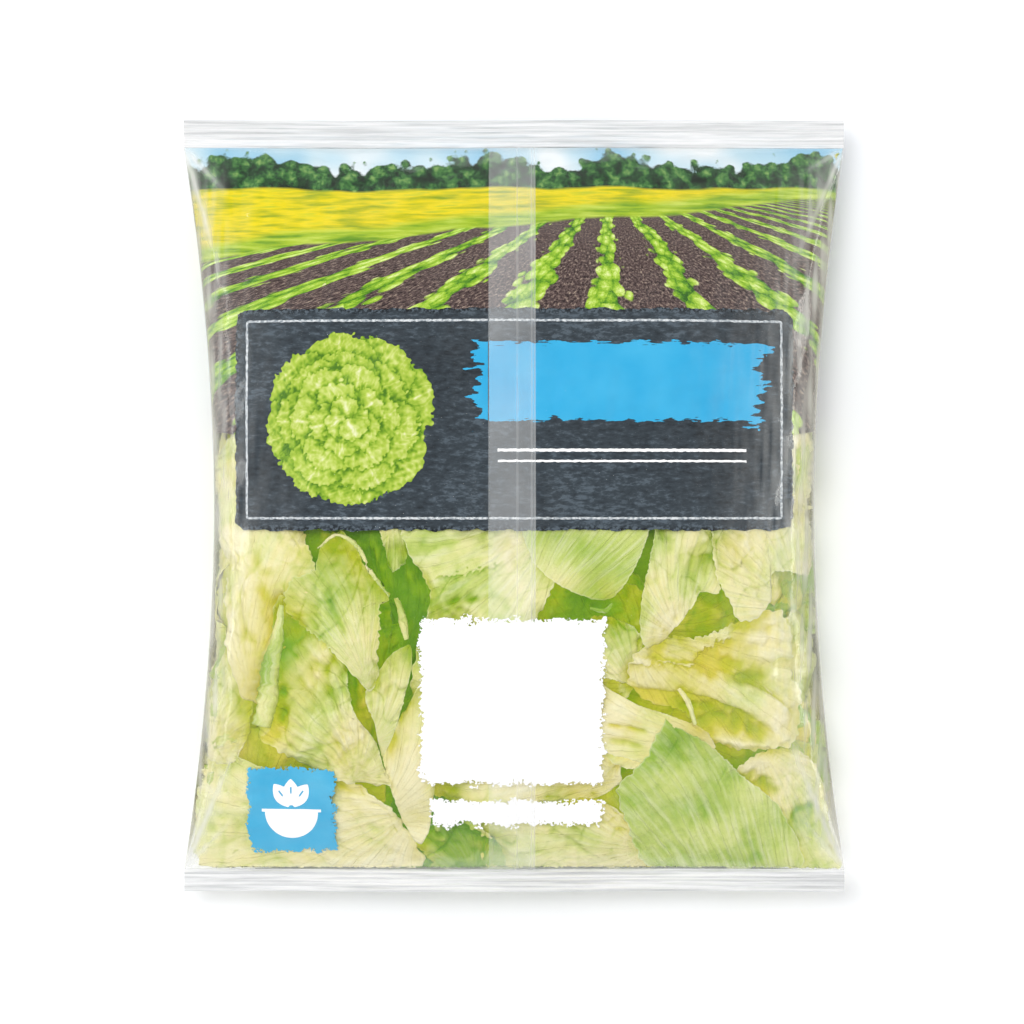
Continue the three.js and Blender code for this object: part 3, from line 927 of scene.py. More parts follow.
def curve_through(points, steps, closed):
    """A smooth curve through the points, with steps points from each to the next."""
    p = np.array(points, dtype=float)
    if not closed:
        p = np.concatenate([2 * p[:1] - p[1:2], p, 2 * p[-1:] - p[-2:-1]])
    before, after, beyond = np.roll(p, 1, 0), np.roll(p, -1, 0), np.roll(p, -2, 0)
    curve = []
    for u in np.arange(steps) / steps:
        square, cube = 2 * before - 5 * p + 4 * after - beyond, 3 * p - before - 3 * after + beyond
        curve.append(0.5 * (2 * p + (after - before) * u + square * u**2 + cube * u**3))
    curve = np.stack(curve, axis=1)
    return curve.reshape(-1, p.shape[1]) if closed else curve[1:-2].reshape(-1, p.shape[1])


def round_outline(points):
    """A closed curve through the points, as angle and distance from their middle."""
    curve = curve_through(points, 14, closed=True)
    centre = (curve.max(axis=0) + curve.min(axis=0)) / 2
    away = curve - centre
    angle, radius = np.arctan2(away[:, 1], away[:, 0]), np.hypot(away[:, 0], away[:, 1])
    order = np.argsort(angle)
    return centre, angle[order], radius[order]


def shaped_leaf(outline, **traits):
    """A leaf's traits, with its outline as a ring round its middle. Heading is where its rib points."""
    ring = round_outline(outline)
    return {**LEAF_DEFAULTS, **traits, "ring": ring, "size": np.mean(ring[2])}


def place_in_ring(leaf, x, y):
    """Share of the way from a leaf's middle to its rim, and how many mm a point lies outside the rim."""
    centre, angles, radii = leaf["ring"]
    dx, dy = x - centre[0], y - centre[1]
    around = np.interp(np.arctan2(dy, dx), angles, radii, period=2 * math.pi)
    away = np.hypot(dx, dy)
    return away / around, away - around


def puffs(along_fan, across_fan, seed):
    """Blisters between the veins: 0 where two of them meet, up to about 1 in the middle of each."""
    draw = np.random.default_rng(seed)
    first, second = np.full(along_fan.shape, 9.0), np.full(along_fan.shape, 9.0)
    for i in range(math.floor(along_fan.min()) - 1, math.ceil(along_fan.max()) + 1):
        for j in range(math.floor(across_fan.min()) - 1, math.ceil(across_fan.max()) + 1):
            away = np.hypot(along_fan - i - draw.uniform(0.1, 0.9), across_fan - j - draw.uniform(0.1, 0.9))
            second = np.minimum(second, np.maximum(first, away))
            first = np.minimum(first, away)
    return np.clip(second - first, 0, 1)


def beside_path(x, y, points):
    """Distance to the left of a curve through the points, and the share of its length gone by there."""
    line = curve_through(points, 9, closed=False)
    runs = np.diff(line, axis=0)
    lengths = np.hypot(runs[:, 0], runs[:, 1])
    gone = np.cumsum(lengths) - lengths
    nearest, share = np.full(x.shape, 1e6), np.zeros(x.shape)
    for start, run, length, before in zip(line, runs, lengths, gone):
        reach = np.clip(((x - start[0]) * run[0] + (y - start[1]) * run[1]) / length**2, 0, 1)
        gap_x, gap_y = x - start[0] - reach * run[0], y - start[1] - reach * run[1]
        away = np.hypot(gap_x, gap_y) * np.where(run[0] * gap_y < run[1] * gap_x, -1, 1)
        nearer = np.abs(away) < np.abs(nearest)
        nearest = np.where(nearer, away, nearest)
        share = np.where(nearer, (before + reach * length) / lengths.sum(), share)
    return nearest, share


def fold_form(kind, points, width, x, y, seed):
    """Height of a fold from 0 to 1 and the painted shade on its hollow side. A flap stands up left of its
    path.
    """
    off, share = beside_path(x, y, points)
    ends = np.sin(np.clip(np.minimum(share, 1 - share) * 6, 0, 1) * math.pi / 2)
    if kind == "roll":
        off = off + 0.3 * ripple(x, y, 9, seed)
        rise = np.sqrt(np.clip(1 - (off / width) ** 2, 0, 1))
        hollow_side_shade = np.exp(-np.clip(np.abs(off) - width, 0, None) / 1.6) * (np.abs(off) > width * 0.97)
    elif kind == "flap":
        off = off + 0.5 * ripple(x, y, 4, seed) + 0.3 * ripple(x, y, 1.8, seed + 1)
        rise = np.exp(-np.clip(off, 0, None) / width) / (1 + np.exp(-np.clip(off, -9, 9) / 0.2))
        hollow_side_shade = np.exp(np.clip(off, None, 0) / 1.8) * (off < 0)
    else:
        rise = np.exp(-(((off + 0.15 * width * ripple(x, y, 8, seed)) / width) ** 2))
        rise = rise * np.clip(0.85 + 0.4 * ripple(x, y, 7, seed + 2), 0, 1.2)
        hollow_side_shade = 0 * rise
    return rise * ends, hollow_side_shade * ends


def leaf_form(leaf, x, y, full=True):
    """Depth of a leaf under the film before anything presses on it, and the painted shade and tint its relief
    gives.
    """
    centre, size, seed = leaf["ring"][0], leaf["size"], leaf["seed"]
    c, s = math.cos(math.radians(leaf["heading"])), math.sin(math.radians(leaf["heading"]))
    dx, dy = x - centre[0], y - centre[1]
    radius, _ = place_in_ring(leaf, x, y)
    radius = np.minimum(radius, 1.1)
    lengthwise, across = dx * c + dy * s, -dx * s + dy * c
    across = across + 0.12 * size * np.sin(lengthwise / size * 1.7 + seed)
    foot = lengthwise + leaf["spread"] * size
    fan = np.arctan2(across, foot) * VEINS_PER_RADIAN * leaf["spread"] / LEAF_DEFAULTS["spread"]
    away = np.hypot(across, foot)
    taper = np.clip(0.62 - 0.5 * lengthwise / size, 0.12, 1)
    height = leaf["rib"] * 2.0 * taper * np.exp(-((across / (1.5 + 4.0 * taper)) ** 2))
    swell = 0.9 * ripple(x, y, 34, 900) + 0.6 * ripple(x, y, 0.9 * size, seed + 1, 5)
    height = height + leaf["swell"] * swell
    draw = np.random.default_rng(seed)
    turns = draw.integers(5, 8), draw.uniform(0, 6.3), draw.integers(11, 16), draw.uniform(0, 6.3)
    angle = np.arctan2(dy, dx)
    wave = np.sin(angle * turns[0] + turns[1]) + 0.7 * np.sin(angle * turns[2] + turns[3])
    height = height + leaf["frill"] * radius**7 * wave
    fold_shade, tint = 0, 0
    for kind, path, width, rise, *tint_and_shade in leaf["folds"]:
        share, hollow_side_shade = fold_form(kind, path, width, x, y, seed + 30)
        height = height + rise * share
        tint = tint + (tint_and_shade[0] if tint_and_shade else 0) * share
        fold_shade = np.maximum(fold_shade, np.maximum(hollow_side_shade * min(1, rise / 3), share * min(1, -rise / 3.5)))
    depth = leaf["depth"] + (leaf["tilt"][0] * dx + leaf["tilt"][1] * dy) / size
    if not full:
        return depth - height, None
    puff = puffs(away / 11, fan, seed + 7)
    crumple = ripple(x, y, 19, seed + 8, 4)
    crease = leaf["crease"] * np.exp(-((crumple / 0.12) ** 2))
    fine = 0.5 * ripple(x, y, 6, seed + 2, 5) + 0.3 * ripple(x, y, 3.4, seed + 3, 5)
    height = height + leaf["blister"] * (1.6 * np.sqrt(puff) - 1.0 + fine) - 1.1 * crease
    # Painted shade: the hollows between blisters are painted greener and darker.
    hollow_shade = np.clip(0.75 - np.sqrt(puff) - 0.25 * fine, 0, 1) * min(1, leaf["blister"] * 2)
    maps = {"fan": np.stack([fan + 0.5 * (seed % 2), away / 5 + seed], axis=-1)}
    return depth - height, (lengthwise / size, hollow_shade, crease, fold_shade, tint, maps)


def off_the_film(depth):
    """Keeps a depth from coming nearer to the film than the rims of the leaves do, without a sharp bend."""
    return RIM_DEPTH + np.log1p(np.exp(np.clip(depth - RIM_DEPTH, -20, 30)))


def pressed_down(covers, x, y, depth, side):
    """Pushes a depth below what lies over it, and gives the painted shadow those pieces cast on it."""
    floor, dimmed = np.zeros_like(depth), np.zeros_like(depth)
    for cover in covers:
        _, outside = cover["edge"](x, y)
        near = outside < COVER_REACH
        if not near.any():
            continue
        under = np.zeros_like(depth)
        under[near] = cover["under"](x[near], y[near])
        here = np.maximum(under, floor) + LEAF_SPACING - 1.1 * np.clip(outside, 0, 20)
        floor = np.where(near, np.maximum(floor, here), floor)
        # Painted shadow: each cover's outline, shifted down and to the right, darkens the colour of the leaf
        # below.
        _, cast = cover["edge"](x - CAST_SHIFT, y + CAST_SHIFT)
        drop = np.clip(np.maximum(depth, floor) - under, 1.0, 9)
        taken = np.clip(drop / 4.5, 0.45, 1) * np.exp(-np.clip(cast, 0, None) / (1.6 + 0.8 * drop))
        dimmed = np.where(near, np.maximum(dimmed, taken), dimmed)
    depth = np.maximum(depth, floor)
    allowed = np.maximum(room(x, y, side), 0.3)
    return depth * allowed / (depth + allowed) + 0.7 * np.exp(-depth), dimmed


LEAF_THICKNESS = 0.4


def thin_leaf(piece):
    shell = piece.modifiers.new("thickness", "SOLIDIFY")
    shell.thickness, shell.offset = LEAF_THICKNESS * MM, -1
    bpy.ops.object.modifier_apply(modifier=shell.name)
    return piece


def leaf_sheet(name, covers, **traits):
    """Makes one flat leaf under the pieces that cover it, and adds it to them."""
    leaf = shaped_leaf(**traits)
    centre, angles, radii = leaf["ring"]
    angle, radius = unit_disc(leaf["cells"])
    around = np.interp(angle, angles, radii, period=2 * math.pi)
    draw = np.random.default_rng(leaf["seed"] + 50)
    teeth = 0
    for low_n, high_n, size in ((7, 11, 0.7), (15, 22, 0.7), (28, 40, 0.8), (45, 70, 0.7)):
        teeth = teeth + np.sin(draw.integers(low_n, high_n) * angle + draw.uniform(0, 6.3)) * size
    reach = around * radius * (1 + leaf["ragged"] * teeth * radius**4)
    x, y = centre[0] + reach * np.cos(angle), centre[1] + reach * np.sin(angle)
    y = np.clip(y, BODY_START + 0.2, BODY_END - 0.2)
    depth, (lengthwise, hollow_shade, crease, fold_shade, tint, maps) = leaf_form(leaf, x, y)
    depth, dimmed = pressed_down(covers, x, y, off_the_film(depth), leaf["side"])
    surface, inward = film_frame(x, y, leaf["side"])
    pale = 1 - np.clip((lengthwise + 1.1) / 1.5, 0, 1)
    tone = leaf["tone"] - leaf["fade"] * pale + 0.1 * ripple(x, y, 26, leaf["seed"] + 4, 5)
    # Painted shade: hollows, creases and sunken folds are painted greener, and deep or covered spots get more
    # shade colour.
    tone = tone + 0.16 * hollow_shade + 0.16 * crease + 0.06 * radius**3 + 0.9 * leaf["tone"] * fold_shade + tint
    shade = np.clip((depth - 2.3) / 4.6, 0, 1) + leaf["dim"] + 0.9 * dimmed + 0.2 * crease + 0.9 * fold_shade
    tones = {"tone": np.clip(tone, 0, 1), "shade": np.clip(shade + 0.2 * hollow_shade, 0, 1)}
    tones["margin"] = (1 - radius) * around
    covers.append({
        "edge": lambda px, py: place_in_ring(leaf, px, py),
        "under": lambda px, py: leaf_form(leaf, px, py, full=False)[0],
    })
    return thin_leaf(grid_piece(name, surface + inward * depth[..., None], maps=maps, tones=tones))


CURL_STEPS, CURL_TURNS = 60, 24


def curled_edge(name, covers, path, radii, tone, seed, sweep=(-40, 215), lift=0.9, ragged=8):
    """A leaf's margin rolled over on itself along a path, lying against the film from underneath."""
    line = curve_through(path, CURL_STEPS // (len(path) - 1), closed=False)
    size = np.interp(np.linspace(0, 1, len(line)), np.linspace(0, 1, len(radii)), radii)
    tangent = np.gradient(line, axis=0)
    tangent = tangent / np.linalg.norm(tangent, axis=1, keepdims=True)
    normal = np.stack([-tangent[:, 1], tangent[:, 0]], axis=1)
    travelled = np.concatenate([[0], np.cumsum(np.linalg.norm(np.diff(line, axis=0), axis=1))])
    still = travelled * 0
    ends = ragged * (ripple(travelled, still, 9, seed) + 0.6 * ripple(travelled, still, 4, seed + 1))
    ends = ends + ragged * 0.4 * ripple(travelled, still, 1.8, seed + 6)
    first, last = np.radians(sweep[0] + ends), np.radians(sweep[1] + 1.6 * ends)
    u = np.linspace(0, 1, CURL_TURNS)
    turn = first[:, None] * (1 - u) + last[:, None] * u
    swell = 1 + 0.1 * ripple(travelled[:, None] + turn * 3, turn * 5, 14, seed + 2)
    swell = swell + 0.04 * ripple(travelled[:, None] * 1.6, turn * 2, 4, seed + 5)
    r = size[:, None] * (1 - 0.3 * u**2) * swell
    plan = line[:, None, :] + normal[:, None, :] * (r * np.cos(turn))[..., None]
    x, y = plan[..., 0], np.clip(plan[..., 1], BODY_START + 0.2, BODY_END - 0.2)
    depth = size[:, None] + lift - r * np.sin(turn) + 0.25 * ripple(x, y, 5, seed + 3)
    depth, dimmed = pressed_down(covers, x, y, off_the_film(depth), FRONT)
    surface, inward = film_frame(x, y, FRONT)
    across = (u - 0.5)[None, :] * 2.2 * math.pi * size[:, None]
    lengthwise = np.broadcast_to(travelled[:, None], across.shape)
    fan = np.stack([across / 7, lengthwise / 5 + seed], axis=-1)
    colour = tone + 0.2 * ripple(lengthwise, across, 22, seed + 4)
    # Painted shade: the roll turns deeper yellow-green where it lies deep, where covers shade it, and on its
    # sides for roundness.
    shade = np.clip((depth - size[:, None] * 0.9 - lift - 1) / 5, 0, 1) + 0.6 * dimmed
    shade = shade + 0.5 * np.cos(turn) ** 2 * np.clip(size[:, None] / 4, 0, 1)
    margin = np.minimum(u, 1 - u)[None, :] * 6 * size[:, None]
    tones = {"tone": np.clip(colour, 0, 1), "shade": np.clip(shade, 0, 1), "margin": margin}

    def edge(px, py):
        away = np.hypot(px[..., None] - line[:, 0], py[..., None] - line[:, 1]) - size
        return away, away.min(axis=-1)

    def under(px, py):
        away = np.hypot(px[..., None] - line[:, 0], py[..., None] - line[:, 1])
        dip = 0.4 * size + 0.6 * np.sqrt(np.clip(size**2 - away**2, 0, None))
        return (lift + dip - 20 * (away > size)).max(axis=-1)

    covers.append({"edge": edge, "under": under})
    return thin_leaf(grid_piece(name, surface + inward * depth[..., None], maps={"fan": fan}, tones=tones))


# Raw lettuce, washed: its wet skin has a soft gloss. Its flesh runs from cream at the rib to green at the
# rim, with a pale bloom drawn out along its veins that is partly its own streaks and partly a painted wet
# sheen.
# Its colour also carries painted shade: where the shade attribute says, it turns to the deep yellow-green of
# light that has come through other leaves, and its fine crinkles are paler on their crests and greener in
# their hollows.
leaf_finish = {"Roughness": 0.3, "Specular IOR Level": 0.55}
leaf_skin, tree, shader = new_material("iceberg lettuce leaf", leaf_finish)
fan_map = node(tree, "ShaderNodeUVMap", {"uv_map": "fan"}).outputs[0]
place = node(tree, "ShaderNodeTexCoord").outputs["Object"]
tone = node(tree, "ShaderNodeAttribute", {"attribute_name": "tone"}).outputs["Fac"]
shade = node(tree, "ShaderNodeAttribute", {"attribute_name": "shade"}).outputs["Fac"]
margin = node(tree, "ShaderNodeAttribute", {"attribute_name": "margin"}).outputs["Fac"]
mottle = node(tree, "ShaderNodeTexNoise", None, {"Vector": place, "Scale": 75, "Detail": 3}).outputs[0]
crinkle_grain = {"Vector": place, "Scale": 270, "Detail": 3, "Roughness": 0.62}
crinkle = node(tree, "ShaderNodeTexNoise", None, crinkle_grain).outputs[0]
fan_parts = node(tree, "ShaderNodeSeparateXYZ", None, {0: fan_map}).outputs
vein_shares = []
for count, strength, width, weight in ((1.0, 0.5, 0.045, 1.0), (2.7, 1.3, 0.06, 0.5)):
    lane = node(tree, "ShaderNodeMath", {"operation": "MULTIPLY"}, {0: fan_parts[0], 1: count}).outputs[0]
    lane = node(tree, "ShaderNodeMath", ADD_SHARE, {0: mottle, 1: strength, 2: lane}).outputs[0]
    lane = node(tree, "ShaderNodeMath", {"operation": "PINGPONG"}, {0: lane, 1: 0.5}).outputs[0]
    eased, span = {"interpolation_type": "SMOOTHSTEP"}, {0: lane, 1: 0.0, 2: width, 3: weight, 4: 0.0}
    vein_shares.append(node(tree, "ShaderNodeMapRange", eased, span).outputs[0])
vein = node(tree, "ShaderNodeMath", {"operation": "MAXIMUM"}, dict(enumerate(vein_shares))).outputs[0]
patchy = node(tree, "ShaderNodeMapRange", None, {0: crinkle, 1: 0.4, 2: 0.6, 3: 0.4, 4: 1.0}).outputs[0]
vein = node(tree, "ShaderNodeMath", {"operation": "MULTIPLY"}, {0: vein, 1: patchy}).outputs[0]
tone_here = node(tree, "ShaderNodeMath", ADD_SHARE, {0: mottle, 1: 0.3, 2: tone}).outputs[0]
# Painted shade: the raised crinkles of the bump are paler and their hollows greener.
tone_here = node(tree, "ShaderNodeMath", ADD_SHARE, {0: crinkle, 1: -0.3, 2: tone_here}).outputs[0]
flesh = node(
    tree,
    "ShaderNodeValToRGB",
    {"stops": [(0.0, "#fbf2c2"), (0.16, "#f5ecae"), (0.36, "#e6e79c"), (0.56, "#cedb7a"), (0.76, "#b5cb5c"),
               (1.0, "#94bb3a")]},
    {0: tone_here},
).outputs[0]
vein_tint = node(
    tree,
    "ShaderNodeValToRGB",
    {"stops": [(0.0, "#f0e08a"), (0.4, "#c2cc58"), (0.7, "#a4c240"), (1.0, "#d6e89c")]},
    {0: tone_here},
).outputs[0]
painted_shade_colour = node(
    tree,
    "ShaderNodeValToRGB",
    {"stops": [(0.0, "#dccf4e"), (0.25, "#c8c832"), (0.5, "#a8b808"), (0.75, "#84ae04"), (1.0, "#649808")]},
    {0: tone_here},
).outputs[0]
vein_share = node(tree, "ShaderNodeMath", {"operation": "MULTIPLY"}, {0: vein, 1: 0.25}).outputs[0]
colour = node(tree, "ShaderNodeMix", BLEND, {0: vein_share, 6: flesh, 7: vein_tint}).outputs[2]
# Pale bloom along the veins: partly the leaf's own streaks, partly a painted wet sheen.
drawn_out = node(tree, "ShaderNodeMapping", None, {"Vector": fan_map, "Scale": (1.9, 0.22, 1)}).outputs[0]
bloom_and_sheen = node(tree, "ShaderNodeTexNoise", None, {"Vector": drawn_out, "Scale": 1.4, "Detail": 4}).outputs[0]
bloom_and_sheen = node(tree, "ShaderNodeMapRange", None, {0: bloom_and_sheen, 1: 0.44, 2: 0.7, 3: 0.0, 4: 0.45}).outputs[0]
colour = node(tree, "ShaderNodeMix", BLEND, {0: bloom_and_sheen, 6: colour, 7: linear("#f2f3cc")}).outputs[2]
# Painted shade: the shade attribute turns the colour to the deep yellow-green.
colour = node(tree, "ShaderNodeMix", BLEND, {0: shade, 6: colour, 7: painted_shade_colour}).outputs[2]
lip = node(tree, "ShaderNodeMapRange", None, {0: margin, 1: 0.15, 2: 0.7, 3: 0.4, 4: 0.0}).outputs[0]
clamped_loss = {"operation": "SUBTRACT", "use_clamp": True}
well_lit = node(tree, "ShaderNodeMath", clamped_loss, {0: 1.1, 1: shade}).outputs[0]
lip = node(tree, "ShaderNodeMath", {"operation": "MULTIPLY"}, {0: lip, 1: well_lit}).outputs[0]
colour = node(tree, "ShaderNodeMix", BLEND, {0: lip, 6: colour, 7: linear("#f6f6cc")}).outputs[2]
tree.links.new(colour, shader.inputs["Base Color"])
raised = node(tree, "ShaderNodeMath", ADD_SHARE, {0: vein, 1: -0.3, 2: crinkle}).outputs[0]
bump = node(tree, "ShaderNodeBump", None, {"Strength": 0.7, "Distance": 0.0012, "Height": raised})
tree.links.new(bump.outputs[0], shader.inputs["Normal"])

